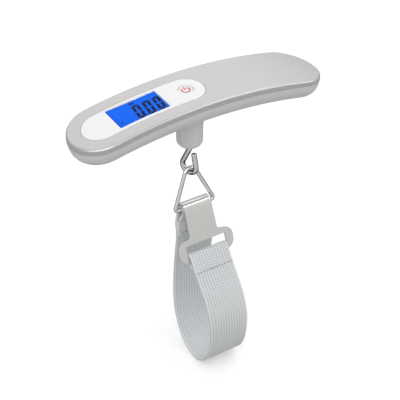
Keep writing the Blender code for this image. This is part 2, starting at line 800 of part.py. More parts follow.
def leads(red, black, grey):
    """Short leads along the housing's side, between the board, the load cell and the battery."""
    gauge = [(6.5, 4.4, -8.1), (8.0, 5.6, -8.0), (4.0, 7.4, -8.2), (-2.0, 8.2, -8.0), (-8.0, 8.0, -7.6)]
    positive = [(54.6, 2.5, -8.9), (55.5, 6.0, -9.4), (50.5, 11.5, -9.0), (42.0, 14.6, -8.0)]
    positive += [(30.0, 12.5, -7.8), (14.0, 10.6, -7.6), (-4.0, 10.2, -7.4)]
    negative = [(37.5, 0.0, -7.9), (31.0, -3.0, -6.2), (26.0, -7.5, -7.0), (14.0, -9.6, -7.6)]
    negative += [(-4.0, -9.8, -7.4)]
    for name, route, material in (
        ("gauge_lead", gauge, grey),
        ("battery_lead_positive", positive, red),
        ("battery_lead_negative", negative, black),
    ):
        points = smooth_route([Vector(point) * MM for point in route], 3)
        tube(name, points, LEAD_RADIUS, material, sides=8)


# ---------------------------------------------------------------- battery


def battery_place():
    """From the battery's own frame: on the grip's top face, +Z square to the arch."""
    slope = math.asin(BATTERY_X / ARCH_RADIUS)
    return Matrix.Translation((BATTERY_X, 0, arch(BATTERY_X))) @ Matrix.Rotation(slope, 4, "Y")


def door_seat_radius():
    return DOOR_RADIUS + GAP


def cell_pocket_radius():
    return CELL_RADIUS + GAP * 1.5


def door_ledge_depth():
    """Depth of the inner face of the ledge that the door's lugs hold on to."""
    return DOOR_FACE_DEPTH - DOOR_THICKNESS - GAP - DOOR_LEDGE_THICKNESS


def lug_outline(radius, angle, extra):
    """Sector outline of one lug, centred on +X."""
    half = angle / 2
    inner = radius * 0.6
    turns = [-half + angle * i / 4 for i in range(5)]
    outer = [((radius + extra) * math.cos(a), (radius + extra) * math.sin(a)) for a in turns]
    low, high = ((inner * math.cos(half), side * inner * math.sin(half)) for side in (-1, 1))
    return [low, *outer, high]


def battery_cutters(place):
    """What is cut from the battery tube: the pocket, the door's seat, the lugs' groove and notches."""
    ledge = door_ledge_depth()
    groove_top = ledge - DOOR_LUG_THICKNESS - 2 * GAP
    lug_radius = cell_pocket_radius() + DOOR_LUG_REACH + GAP
    pocket_side = [(cell_pocket_radius(), -4 * MM), (cell_pocket_radius(), -20 * MM)]
    pocket = turned("cell_pocket", pocket_side, place=place, steps=36)
    seat_side = [(door_seat_radius(), -(ledge + DOOR_LEDGE_THICKNESS)), (door_seat_radius(), -20 * MM)]
    seat = turned("door_seat", seat_side, place=place, steps=36)
    groove = turned("lug_groove", [(lug_radius, -groove_top), (lug_radius, -ledge)], place=place, steps=36)
    cutters = [pocket, seat, groove]
    for side in range(2):
        turn = Matrix.Rotation(math.pi * side - DOOR_TURN, 4, "Z")
        outline = lug_outline(cell_pocket_radius(), DOOR_LUG_ANGLE + math.radians(4), DOOR_LUG_REACH)
        notch_bottom, notch_top = -(ledge + DOOR_LEDGE_THICKNESS + 0.3 * MM), -(ledge - 0.4 * MM)
        cutters.append(prism(f"lug_notch_{side + 1}", outline, notch_bottom, notch_top, place=place @ turn))
    contact = block(
        "contact_notch",
        (CELL_RADIUS - 1 * MM, -2.5 * MM, -(CELL_TOP_DEPTH + 3 * MM)),
        (cell_pocket_radius() + 0.9 * MM, 2.5 * MM, 0),
        place=place,
    )
    return [*cutters, contact]


def coin_cell(material):
    top = -CELL_TOP_DEPTH
    bottom = top - CELL_THICKNESS
    profile = [
        (CELL_RADIUS - 1.6 * MM, top),
        (CELL_RADIUS - 1.5 * MM, top - 0.3 * MM),
        (CELL_RADIUS - 0.4 * MM, top - 0.4 * MM),
        (CELL_RADIUS, top - 0.8 * MM),
        (CELL_RADIUS, bottom + 0.3 * MM),
        (CELL_RADIUS - 0.3 * MM, bottom),
    ]
    return turned("coin_cell", profile, material, battery_place(), steps=32)


def battery_contacts(material):
    place = battery_place()
    top = -CELL_TOP_DEPTH + GAP + CONTACT_THICKNESS
    low, high = (-8 * MM, -2.5 * MM, top - CONTACT_THICKNESS), (6 * MM, 2.5 * MM, top)
    block("battery_contact_negative", low, high, material, place, 1.2 * MM)
    inner = CELL_RADIUS + GAP
    block(
        "battery_contact_positive",
        (inner, -2.0 * MM, -(CELL_TOP_DEPTH + CELL_THICKNESS - 0.5 * MM)),
        (inner + CONTACT_THICKNESS, 2.0 * MM, -(CELL_TOP_DEPTH - 1.2 * MM)),
        material,
        place,
    )


def battery_door(material):
    place = battery_place()
    face = -DOOR_FACE_DEPTH
    seat = face + DOOR_THICKNESS
    ledge_top = -door_ledge_depth()
    lug_bottom = ledge_top + GAP
    lug_top = lug_bottom + DOOR_LUG_THICKNESS
    plug_radius = cell_pocket_radius() - GAP
    profile = [
        (plug_radius - 0.3 * MM, lug_top),
        (plug_radius, lug_top - 0.3 * MM),
        (plug_radius, seat),
        (DOOR_RADIUS, seat),
        (DOOR_RADIUS, face + 0.4 * MM),
        (DOOR_RADIUS - 0.4 * MM, face),
    ]
    door = turned("battery_door", profile, material, place, steps=36)
    for side in range(2):
        turn = Matrix.Rotation(math.pi * side, 4, "Z")
        outline = lug_outline(plug_radius, DOOR_LUG_ANGLE, DOOR_LUG_REACH)
        lug = prism(f"door_lug_{side + 1}", outline, lug_bottom, lug_top - 0.05 * MM, place=place @ turn)
        join(door, lug)
    half = COIN_SLOT_LENGTH / 2
    slot = block(
        "coin_slot",
        (-half, -COIN_SLOT_WIDTH / 2, face - 1 * MM),
        (half, COIN_SLOT_WIDTH / 2, face + COIN_SLOT_DEPTH),
        place=place,
        radius=COIN_SLOT_WIDTH * 0.4,
    )
    return cut(door, slot)


# ---------------------------------------------------------------- hook and ring


def hook_point(h, z):
    """From the hook's plane: h outwards from the stem, z up."""
    return Vector((NECK_X - h * math.sin(HOOK_PLANE_ANGLE), h * math.cos(HOOK_PLANE_ANGLE), z))


def hook_route():
    """(h, z) points of the hook's wire: stem, back bend, bowl and tip, each tangent to the next."""
    bend = Vector((HOOK_BEND_RADIUS, HOOK_BEND_TOP))
    bowl = Vector((HOOK_BOWL_OFFSET, HOOK_BOWL_Z))
    tip = Vector(HOOK_TIP)
    across = bowl - bend
    both = HOOK_BEND_RADIUS + HOOK_BOWL_RADIUS
    heading = math.atan2(across.y, across.x) + math.asin(both / across.length)
    reach = tip - bowl
    leaving = math.atan2(reach.y, reach.x) - math.asin(HOOK_BOWL_RADIUS / reach.length)
    route = [(0.0, stem_top()), (0.0, NECK_BOTTOM / 2), (0.0, NECK_BOTTOM)]
    route += arc(bend, HOOK_BEND_RADIUS, math.pi, heading + 3 * math.pi / 2, 5)
    route += arc(bowl, HOOK_BOWL_RADIUS, heading + math.pi / 2, leaving - 3 * math.pi / 2, 14)
    halfway = Vector((-math.sin(leaving), math.cos(leaving))) * HOOK_BOWL_RADIUS / 2
    route += [tuple(bowl.lerp(tip, 0.5) + halfway)]
    return route + [tuple(tip)]


def stem_top():
    return washer_top() + GAP + NUT_HEIGHT


def washer_top():
    return BEAM_TOP + GAP + WASHER_THICKNESS


def hook(material):
    points = [hook_point(h, z) for h, z in hook_route()]
    return tube("hook", points, HOOK_WIRE_RADIUS, material)


def hook_fastening(steel, brass):
    """The washer and nut that hold the stem on the load cell, and the bush in the neck."""
    place = Matrix.Translation((NECK_X, 0, 0))
    clearance = HOOK_WIRE_RADIUS + GAP
    low, high = BEAM_TOP + GAP, washer_top()
    washer = turned_ring(
        "hook_washer",
        [(clearance, low), (WASHER_RADIUS, low), (WASHER_RADIUS, high), (clearance, high)],
        steel,
        place,
    )
    low, high = washer_top() + GAP, stem_top()
    nut = turned_ring(
        "hook_nut",
        [(clearance, low), (NUT_RADIUS, low), (NUT_RADIUS, high), (clearance, high)],
        brass,
        place,
        steps=6,
    )
    bush_top = NECK_BOTTOM + 8 * MM
    bush_bottom = NECK_BOTTOM + 0.6 * MM
    outer = NECK_BORE_RADIUS - GAP
    bush = [(clearance, bush_bottom), (outer, bush_bottom), (outer, bush_top), (clearance, bush_top)]
    turned_ring("neck_bush", bush, brass, place)
    return washer, nut


def ring_frame():
    """The ring's plane: its apex, and unit vectors across and down it."""
    apex = Vector((NECK_X, 0.0, RING_APEX_Z))
    down = (Vector((NECK_X, BAR_Y, BAR_Z)) - apex).normalized()
    return apex, Vector((1, 0, 0)), down


def triangle_ring(material):
    apex, across, down = ring_frame()
    height = (Vector((NECK_X, BAR_Y, BAR_Z)) - apex).length
    # the legs' corner above the apex arc, so that the arc's top is on the hook
    lean = math.atan(RING_HALF_WIDTH / height)
    for _ in range(20):
        peak = RING_APEX_RADIUS / math.sin(lean) - RING_APEX_RADIUS
        lean = math.atan(RING_HALF_WIDTH / (height + peak))
    corners = [
        (0.0, -peak, RING_APEX_RADIUS),
        (RING_HALF_WIDTH, height, RING_CORNER_RADIUS),
        (-RING_HALF_WIDTH, height, RING_CORNER_RADIUS),
    ]
    outline = rounded(corners, steps=7)
    spaced = []
    for i, (u, v) in enumerate(outline):
        here, after = Vector((u, v)), Vector(outline[(i + 1) % len(outline)])
        parts = 3 if (after - here).length > 5 * MM else 1
        spaced += [here.lerp(after, k / parts) for k in range(parts)]
    points = [apex + across * u + down * v for u, v in spaced]
    return tube("triangle_ring", points, RING_WIRE_RADIUS, material, closed=True)


# ---------------------------------------------------------------- clasp and webbing


def clasp_point(x, down, out):
    """From the clasp's plane: x across, down from the bar along the plate, out from the bar."""
    lean, upright = math.sin(CLASP_TILT), math.cos(CLASP_TILT)
    return Vector((NECK_X + x, BAR_Y - down * lean - out * upright, BAR_Z - down * upright + out * lean))


def clasp_outline():
    side = [
        (CLASP_TONGUE_HALF, -0.2 * MM, 0.0),
        (CLASP_WAIST_HALF, CLASP_WAIST_END, CLASP_WAIST_FILLET),
        (CLASP_HALF_WIDTH, CLASP_SHOULDER, CLASP_SHOULDER_RADIUS),
        (CLASP_HALF_WIDTH, CLASP_LENGTH, CLASP_FOOT_RADIUS),
    ]
    mirrored = [(-x, down, radius) for x, down, radius in reversed(side)]
    return rounded(side + mirrored, steps=6)


def clasp(material):
    inner = CLASP_HOOK_RADIUS - CLASP_THICKNESS / 2
    outer = CLASP_HOOK_RADIUS + CLASP_THICKNESS / 2
    plate = prism("clasp", clasp_outline(), inner, outer, material, put=clasp_point)
    # the curl over the bar, from the plate's front face round to level with the bar behind it
    end = math.pi - CLASP_TILT
    turns = [end * i / 14 for i in range(15)]
    outline = [(outer * math.cos(a), outer * math.sin(a)) for a in turns]
    outline += [(inner * math.cos(a), inner * math.sin(a)) for a in reversed(turns)]
    half = CLASP_TONGUE_HALF - 0.02 * MM
    curl = prism(
        "clasp_curl", outline, -half, half, put=lambda y, z, x: Vector((NECK_X + x, BAR_Y + y, BAR_Z + z))
    )
    join(plate, curl)
    corners = [
        (CLASP_SLOT_HALF, CLASP_SLOT_TOP),
        (CLASP_SLOT_HALF, CLASP_SLOT_BOTTOM),
        (-CLASP_SLOT_HALF, CLASP_SLOT_BOTTOM),
        (-CLASP_SLOT_HALF, CLASP_SLOT_TOP),
    ]
    slot = rounded([(x, down, CLASP_SLOT_RADIUS) for x, down in corners])
    return cut(plate, prism("clasp_slot", slot, inner - 2 * MM, outer + 2 * MM, put=clasp_point))


def wrap_arc(start, end, steps):
    """(y, z) points of the webbing round the ring's bar."""
    turn = arc((BAR_Y, BAR_Z), WRAP_RADIUS, math.radians(start), math.radians(end), steps)
    return [Vector(point) for point in turn]


def fold_frame():
    """The webbing's fold at the clasp: its centre, and unit vectors along and out of it."""
    centre = clasp_point(0, CLASP_SLOT_BOTTOM + CLASP_THICKNESS / 2, CLASP_HOOK_RADIUS)
    along = Vector((-math.sin(FOLD_ANGLE), -math.cos(FOLD_ANGLE)))
    return Vector((centre.y, centre.z)), along, Vector((along.y, -along.x))


def fold_radius():
    return CLASP_THICKNESS / 2 + WEBBING_PLAY + WEBBING_THICKNESS / 2


def back_route():
    """(y, z) points down the back of the loop, from the bar to the seat."""
    hand = [(-3.4, -79.0), (-4.9, -84.5), (-5.2, -90.0), (-4.2, -98.5), (-2.6, -110.0), (-1.2, -124.0)]
    hand += [(-0.8, -138.0)]
    hand += [(-2.4, -149.0), (-6.4, -158.5), (-12.0, -165.0)]
    seat_back = Vector((SEAT_Y + SEAT_LENGTH / 2, LOOP_BOTTOM_Z))
    return [Vector(point) * MM for point in hand] + [seat_back]


def front_route():
    """(y, z) points up the front of the loop, from the seat to where the fold's end meets it."""
    hand = [(-31.0, -165.2), (-36.6, -159.5), (-40.2, -151.0), (-42.0, -140.5), (-41.8, -131.0)]
    hand += [(-39.2, -122.4), (-34.8, -114.6)]
    centre, along, out = fold_frame()
    start = centre + out * fold_radius()
    last = [start + along * reach * MM for reach in (15.5, 12.8)]
    seat_front = Vector((SEAT_Y - SEAT_LENGTH / 2, LOOP_BOTTOM_Z))
    return [seat_front] + [Vector(point) * MM for point in hand] + last


def loop_half_width(distance):
    """Half width of the webbing, narrowed where it passes round the bar."""
    share = min(max((distance - 4 * MM) / WEBBING_TAPER_LENGTH, 0.0), 1.0)
    share = share * share * (3 - 2 * share)
    return (WEBBING_WIDTH_AT_BAR + (WEBBING_WIDTH - WEBBING_WIDTH_AT_BAR) * share) / 2


def webbing_loop(material):
    """The long run of the webbing, from its sewn eye round the bar to the end of the fold."""
    back = smooth_route([wrap_arc(10, 0, 1)[1], *back_route()], 3)
    front = smooth_route(front_route(), 3)
    route = wrap_arc(100, 0, 7)[:-1] + back + front
    loop = strip("webbing_loop", trim_end(route), loop_half_width, material)
    hem = [wrap_arc(170, 180, 1)[1]]
    hem += [point - Vector((SEWN_OFFSET, 0)) for point in back if RING_HEM_Z < point.y < -80 * MM]
    inner = wrap_arc(92, 180, 6)[:-1] + smooth_route(hem, 2)
    return join(loop, strip("ring_hem", inner, lambda d: loop_half_width(d) - 0.2 * MM))


def trim_end(route):
    """Cuts the route's last stretch off where it comes within the join's radius of the bar."""
    bar = Vector((BAR_Y, BAR_Z))
    for i in range(len(route) - 1, 0, -1):
        a, b = (route[i - 1] - bar).length, (route[i] - bar).length
        if a > JOIN_RADIUS >= b:
            return route[:i] + [route[i - 1].lerp(route[i], (a - JOIN_RADIUS) / (a - b))]
    return route


def webbing_sewn_end(material):
    """The webbing's other end, folded through the clasp's slot and sewn to itself."""
    centre, along, out = fold_frame()
    radius = fold_radius()

    def at(a, m):
        return centre + along * a * MM + out * m * MM

    turns = [math.pi * i / 8 for i in range(9)]
    half_turn = [centre + radius * (math.cos(a) * out - math.sin(a) * along) for a in turns]
    reach = CLASP_HEM_LENGTH
    face = centre + out * radius
    front = [*half_turn[4::-1], face + along * reach * 0.5, face + along * reach]
    under = radius / MM - SEWN_OFFSET / MM
    back_layer = [at(1.5, -2.1), at(3.8, -2.7), at(5.8, -1.7), at(7.5, under - 0.3), at(8.8, under)]
    back_layer += [at(reach / MM - 0.4, under)]
    back = [*half_turn[3:8], *smooth_route([half_turn[8], *back_layer], 3)]
    half = WEBBING_WIDTH / 2
    end = strip("webbing_sewn_end", front, lambda d: half, material)
    return join(end, strip("clasp_hem", back, lambda d: half - 0.2 * MM))


# ---------------------------------------------------------------- the whole


def hang_with_helpers(empty, obj):
    """Hangs a piece together with the helpers that its Booleans use."""
    helpers = [modifier.object for modifier in obj.modifiers if modifier.type == "BOOLEAN"]
    hang(empty, obj, *helpers)


def main():
    clear_scene()
    steel = finish("brushed_steel", (0.71, 0.71, 0.70), 0.32, 1.0)
    white = finish("white_plastic", (0.88, 0.89, 0.90), 0.35)
    grey = finish("grey_plastic", (0.42, 0.42, 0.42), 0.45)
    frame_grey = finish("frame_plastic", (0.30, 0.30, 0.31), 0.55)
    chrome = finish("chrome", (0.82, 0.82, 0.82), 0.08, 1.0)
    satin = finish("satin_steel", (0.66, 0.66, 0.64), 0.30, 1.0)
    brass = finish("brass", (0.72, 0.55, 0.28), 0.30, 1.0)
    zinc = finish("zinc", (0.62, 0.63, 0.65), 0.35, 1.0)
    aluminium = finish("aluminium", (0.70, 0.71, 0.72), 0.40, 1.0)
    webbing = finish("webbing", (0.66, 0.69, 0.70), 0.90)
    red = finish("red_lead", (0.55, 0.05, 0.04), 0.50)
    materials = {
        "lcd": finish("lcd", (0.03, 0.22, 0.95), 0.15),
        "white": white,
        "rubber": finish("rubber", (0.25, 0.25, 0.27), 0.80),
        "board": finish("board", (0.03, 0.22, 0.10), 0.50),
        "black": finish("black_plastic", (0.03, 0.03, 0.03), 0.50),
    }

    top_cover(steel)
    upper_frame(frame_grey)
    display_panel(white)
    display_stack(materials)
    lower_housing(grey)
    housing_screws(zinc)
    load_cell(aluminium)
    load_cell_screws(zinc)
    gauge_cover(white)
    leads(red, materials["black"], frame_grey)
    coin_cell(zinc)
    battery_contacts(brass)

    button_axis = axis_empty("power_button_axis", Vector((BUTTON_X, 0, arch(BUTTON_X))))
    hang(button_axis, power_button(white))
    door_axis = axis_empty("battery_door_axis", battery_place() @ Vector((0, 0, -DOOR_FACE_DEPTH)))
    door = battery_door(grey)
    bpy.context.view_layer.update()
    hang_with_helpers(door_axis, door)

    swivel = axis_empty("hook_swivel_axis", Vector((NECK_X, 0, NECK_BOTTOM)))
    hang(swivel, hook(chrome), *hook_fastening(zinc, brass))
    ring_axis = axis_empty("ring_swing_axis", Vector((NECK_X, 0, RING_APEX_Z)), swivel)
    hang(ring_axis, triangle_ring(chrome))
    bar_axis = axis_empty("ring_bar_axis", Vector((NECK_X, BAR_Y, BAR_Z)), ring_axis)
    hang_with_helpers(bar_axis, webbing_loop(webbing))
    hang_with_helpers(bar_axis, clasp(satin))
    hang_with_helpers(bar_axis, webbing_sewn_end(webbing))
    bpy.context.view_layer.update()


main()
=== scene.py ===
"""Looks of the digital luggage scale: finishes, webbing, stitching, display and studio.

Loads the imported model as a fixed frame, adds the soft and fine pieces to it, dresses every
surface and sets a plain studio round it. Lengths are in metres unless a name says mm.
"""

from __future__ import annotations

import logging
import math
from dataclasses import dataclass, field
from enum import Enum
from typing import Callable, Iterable, Sequence

import bmesh
import bpy
from mathutils import Matrix, Vector

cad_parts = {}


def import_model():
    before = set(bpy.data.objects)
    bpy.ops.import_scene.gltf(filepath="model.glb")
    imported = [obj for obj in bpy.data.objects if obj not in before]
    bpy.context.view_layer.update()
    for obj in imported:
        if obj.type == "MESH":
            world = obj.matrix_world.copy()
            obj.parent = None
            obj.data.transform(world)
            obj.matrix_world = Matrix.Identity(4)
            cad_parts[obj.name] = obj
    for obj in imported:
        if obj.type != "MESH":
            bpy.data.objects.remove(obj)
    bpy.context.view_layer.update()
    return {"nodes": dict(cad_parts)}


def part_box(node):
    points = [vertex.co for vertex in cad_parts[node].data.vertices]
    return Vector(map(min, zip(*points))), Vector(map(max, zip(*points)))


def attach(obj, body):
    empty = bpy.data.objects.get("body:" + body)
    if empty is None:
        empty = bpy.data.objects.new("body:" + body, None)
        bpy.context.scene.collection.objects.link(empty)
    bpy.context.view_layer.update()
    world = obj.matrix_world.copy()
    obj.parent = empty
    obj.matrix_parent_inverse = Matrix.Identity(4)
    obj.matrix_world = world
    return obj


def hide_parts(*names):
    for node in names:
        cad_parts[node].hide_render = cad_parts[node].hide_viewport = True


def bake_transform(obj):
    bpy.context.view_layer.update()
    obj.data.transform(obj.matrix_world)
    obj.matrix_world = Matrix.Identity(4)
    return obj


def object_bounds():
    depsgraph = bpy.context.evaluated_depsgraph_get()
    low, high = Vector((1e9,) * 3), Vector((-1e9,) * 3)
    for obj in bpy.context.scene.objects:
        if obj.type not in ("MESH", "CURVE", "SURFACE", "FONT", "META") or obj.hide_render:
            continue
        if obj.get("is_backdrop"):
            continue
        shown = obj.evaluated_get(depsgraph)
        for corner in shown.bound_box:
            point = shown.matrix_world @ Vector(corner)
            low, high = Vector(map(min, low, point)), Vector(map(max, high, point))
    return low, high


LOG = logging.getLogger("luggage_scale")
MM = 0.001

# How far a face may turn from the arch and still be part of it, or still meet it.
ON_ARCH = math.radians(4)
BESIDE_ARCH = math.radians(40)

# Points closer than these are one point, in a CAD mesh and in a piece made here.
CAD_WELD = 0.002 * MM
WELD = 0.0001 * MM

# Faces that meet at less than this are one flat face.
STILL_FLAT = math.radians(0.5)

Point = tuple[float, float]
Colour = tuple[float, float, float]
Scale = tuple[float, float, float]


class Body(Enum):
    """The rigid bodies of the frame that pieces ride on."""

    HANDLE = "handle"
    BUTTON = "button"
    DOOR = "battery_door"
    HOOK = "hook"
    RING = "ring"
    STRAP = "strap"
    CLASP = "clasp"


class Maths(Enum):
    """Operations of a Math node that the finishes use."""

    ADD = "ADD"
    SUBTRACT = "SUBTRACT"
    MULTIPLY = "MULTIPLY"
    SINE = "SINE"
    ABSOLUTE = "ABSOLUTE"
    POWER = "POWER"
    MAXIMUM = "MAXIMUM"
    MINIMUM = "MINIMUM"


# ------------------------------------------------------------------ shader maths


class Graph:
    """A material's node tree, with one method that makes any node in it."""

    def __init__(self, name: str) -> None:
        """Makes an empty material called name."""
        self.material = bpy.data.materials.new(name)
        self.material.use_nodes = True
        self.tree = self.material.node_tree
        self.tree.nodes.clear()

    def node(self, kind: str, settings: dict | None = None, **values: object) -> bpy.types.Node:
        """Makes a node.

        Args:
            kind: the node's type, such as "ShaderNodeTexNoise".
            settings: properties that are set before the sockets.
            values: values or sources of its sockets, by name with _ for a space.

        Returns:
            The new node.
        """
        made = self.tree.nodes.new(kind)
        for key, value in (settings or {}).items():
            setattr(made, key, value)
        for key, value in values.items():
            self.feed(self._socket(made, key), value)
        return made

    def _socket(self, node: bpy.types.Node, key: str) -> bpy.types.NodeSocket:
        """Finds an input by its place, as in at_0, or by its name."""
        if key.startswith("at_"):
            return node.inputs[int(key[3:])]
        return node.inputs[key.replace("_", " ")]

    def feed(self, socket: bpy.types.NodeSocket, value: object) -> None:
        """Links or sets one input socket."""
        if isinstance(value, Wire):
            self.tree.links.new(value.socket, socket)
        elif socket.type == "RGBA" and len(value) == 3:
            socket.default_value = (*value, 1.0)
        else:
            socket.default_value = value

    def wire(self, node: bpy.types.Node, output: str | int = 0) -> Wire:
        """Wraps a node's output for use in expressions."""
        return Wire(self, node.outputs[output])

    def object_coordinates(self) -> Wire:
        """The place of each point on its own object."""
        return self.wire(self.node("ShaderNodeTexCoord"), "Object")

    def uv(self) -> Wire:
        """The piece's own UV map."""
        return self.wire(self.node("ShaderNodeTexCoord"), "UV")

    def scaled(self, source: Wire, scale: Scale) -> Wire:
        """A vector scaled along each axis."""
        return self.wire(self.node("ShaderNodeMapping", Vector=source, Scale=scale))

    def parts(self, source: Wire) -> tuple[Wire, Wire, Wire]:
        """The three numbers of a vector."""
        split = self.node("ShaderNodeSeparateXYZ", Vector=source)
        return tuple(self.wire(split, i) for i in range(3))

    def noise(self, source: Wire, scale: float, detail: float = 2.0, roughness: float = 0.5) -> Wire:
        """Smooth noise from 0 to 1."""
        values = {"Vector": source, "Scale": scale, "Detail": detail, "Roughness": roughness}
        return self.wire(self.node("ShaderNodeTexNoise", **values), "Fac")

    def mixed(self, share: Wire | float, first: Colour | Wire, second: Colour | Wire) -> Wire:
        """A colour between first at 0 and second at 1."""
        made = self.node("ShaderNodeMix", {"data_type": "RGBA"}, at_0=share, at_6=first, at_7=second)
        return self.wire(made, 2)

    def spread(self, value: Wire, low: float, high: float) -> Wire:
        """Takes 0 to 1 to low to high."""
        return value * (high - low) + low

    def bump(self, height: Wire, distance: float, strength: float = 1.0) -> Wire:
        """A normal from a height of 0 to 1, that distance deep."""
        return self.wire(self.node("ShaderNodeBump", Height=height, Distance=distance, Strength=strength))

    def surface(self, **values: object) -> bpy.types.Material:
        """Ends the tree in a Principled surface with these values or links."""
        shader = self.node("ShaderNodeBsdfPrincipled", None, **values)
        output = self.node("ShaderNodeOutputMaterial")
        self.tree.links.new(shader.outputs[0], output.inputs["Surface"])
        return self.material


class Wire:
    """One value in a shader, on which Python's operators add Math nodes."""

    def __init__(self, graph: Graph, socket: bpy.types.NodeSocket) -> None:
        """Wraps an output socket of graph."""
        self.graph = graph
        self.socket = socket

    def _maths(self, operation: Maths, first: object, second: object = 0.0) -> Wire:
        """Adds a Math node."""
        made = self.graph.node("ShaderNodeMath", {"operation": operation.value}, at_0=first, at_1=second)
        return self.graph.wire(made)

    def __add__(self, other: Wire | float) -> Wire:
        """Sum."""
        return self._maths(Maths.ADD, self, other)

    def __radd__(self, other: float) -> Wire:
        """Sum, with the number first."""
        return self._maths(Maths.ADD, other, self)

    def __sub__(self, other: Wire | float) -> Wire:
        """Difference."""
        return self._maths(Maths.SUBTRACT, self, other)

    def __rsub__(self, other: float) -> Wire:
        """Difference, with the number first."""
        return self._maths(Maths.SUBTRACT, other, self)

    def __mul__(self, other: Wire | float) -> Wire:
        """Product."""
        return self._maths(Maths.MULTIPLY, self, other)

    def __rmul__(self, other: float) -> Wire:
        """Product, with the number first."""
        return self._maths(Maths.MULTIPLY, other, self)

    def __pow__(self, other: Wire | float) -> Wire:
        """Power."""
        return self._maths(Maths.POWER, self, other)

    def __abs__(self) -> Wire:
        """Size without sign."""
        return self._maths(Maths.ABSOLUTE, self)

    def sine(self) -> Wire:
        """Sine of an angle in radians."""
        return self._maths(Maths.SINE, self)

    def at_least(self, other: Wire | float) -> Wire:
        """The larger of the two."""
        return self._maths(Maths.MAXIMUM, self, other)

    def clamped(self) -> Wire:
        """The value kept between 0 and 1."""
        return self._maths(Maths.MINIMUM, self.at_least(0.0), 1.0)


def shaded(colour: Colour, share: float) -> Colour:
    """A colour scaled by a share, never over 1."""
    return tuple(min(channel * share, 1.0) for channel in colour)


# ------------------------------------------------------------------ finishes


@dataclass(frozen=True)
class BrushedSteel:
    """Stainless steel with a fine grain along X."""

    name: str = "brushed_steel_sheet"
    colour: Colour = (0.70, 0.695, 0.685)
    roughness: float = 0.34
    grain_scale: Scale = (60.0, 5000.0, 5000.0)
    streak_scale: Scale = (18.0, 900.0, 900.0)
    cloud_scale: float = 22.0
    grain_depth: float = 0.006 * MM

    def build(self) -> bpy.types.Material:
        """Makes the material."""
        g = Graph(self.name)
        place = g.object_coordinates()
        grain = g.noise(g.scaled(place, self.grain_scale), 1.0, 3.0, 0.6)
        streak = g.noise(g.scaled(place, self.streak_scale), 1.0, 2.0, 0.5)
        cloud = g.noise(place, self.cloud_scale, 2.0)
        tint = g.mixed(streak * 0.6 + grain * 0.4, shaded(self.colour, 0.88), shaded(self.colour, 1.10))
        rough = g.spread(grain * 0.6 + cloud * 0.4, self.roughness - 0.06, self.roughness + 0.08)
        normal = g.bump(grain, self.grain_depth, 0.5)
        return g.surface(Base_Color=tint, Metallic=1.0, Roughness=rough, Normal=normal)


@dataclass(frozen=True)
class MouldedPlastic:
    """Plastic with the faint texture of its mould."""

    name: str
    colour: Colour
    roughness: float = 0.40
    grain: float = 2600.0
    grain_depth: float = 0.006 * MM
    coat: float = 0.0

    def build(self) -> bpy.types.Material:
        """Makes the material."""
        g = Graph(self.name)
        place = g.object_coordinates()
        fine = g.noise(place, self.grain, 2.0)
        cloud = g.noise(place, 35.0, 3.0)
        tint = g.mixed(cloud, shaded(self.colour, 0.965), self.colour)
        rough = g.spread(fine * 0.5 + cloud * 0.5, self.roughness - 0.05, self.roughness + 0.07)
        return g.surface(
            Base_Color=tint,
            Roughness=rough,
            Coat_Weight=self.coat,
            Coat_Roughness=0.08,
            Normal=g.bump(fine, self.grain_depth, 0.4),
        )


@dataclass(frozen=True)
class Plated:
    """Plated or polished metal with faint rubs. A rim over 0 paints a dark reflection where it turns away.
    """

    name: str
    colour: Colour
    roughness: float
    rub: float = 0.03
    grain: Scale = (300.0, 300.0, 300.0)
    grain_depth: float = 0.002 * MM
    # rim and the three fields after it set the painted dark reflection at the edges.
    rim: float = 0.0
    painted_reflection_start: float = 0.30
    painted_reflection_gain: float = 6.0
    painted_reflection_colour: Colour = (0.02, 0.02, 0.022)

    def build(self) -> bpy.types.Material:
        """Makes the material."""
        g = Graph(self.name)
        place = g.object_coordinates()
        rubs = g.noise(g.scaled(place, self.grain), 1.0, 4.0, 0.6)
        cloud = g.noise(place, 60.0, 2.0)
        tint = g.mixed(cloud, shaded(self.colour, 0.95), self.colour)
        # Painted reflection: where the surface turns away from the camera, its colour darkens towards near
        # black, as a mirror shows dark surroundings.
        if self.rim:
            facing = g.wire(g.node("ShaderNodeLayerWeight", Blend=0.5), "Facing")
            painted_reflection_share = ((facing - self.painted_reflection_start) * self.painted_reflection_gain).clamped()
            tint = g.mixed(painted_reflection_share * self.rim, tint, self.painted_reflection_colour)
        rough = g.spread(rubs, max(self.roughness - self.rub, 0.02), self.roughness + self.rub)
        normal = g.bump(rubs, self.grain_depth, 0.4)
        return g.surface(Base_Color=tint, Metallic=1.0, Roughness=rough, Normal=normal)


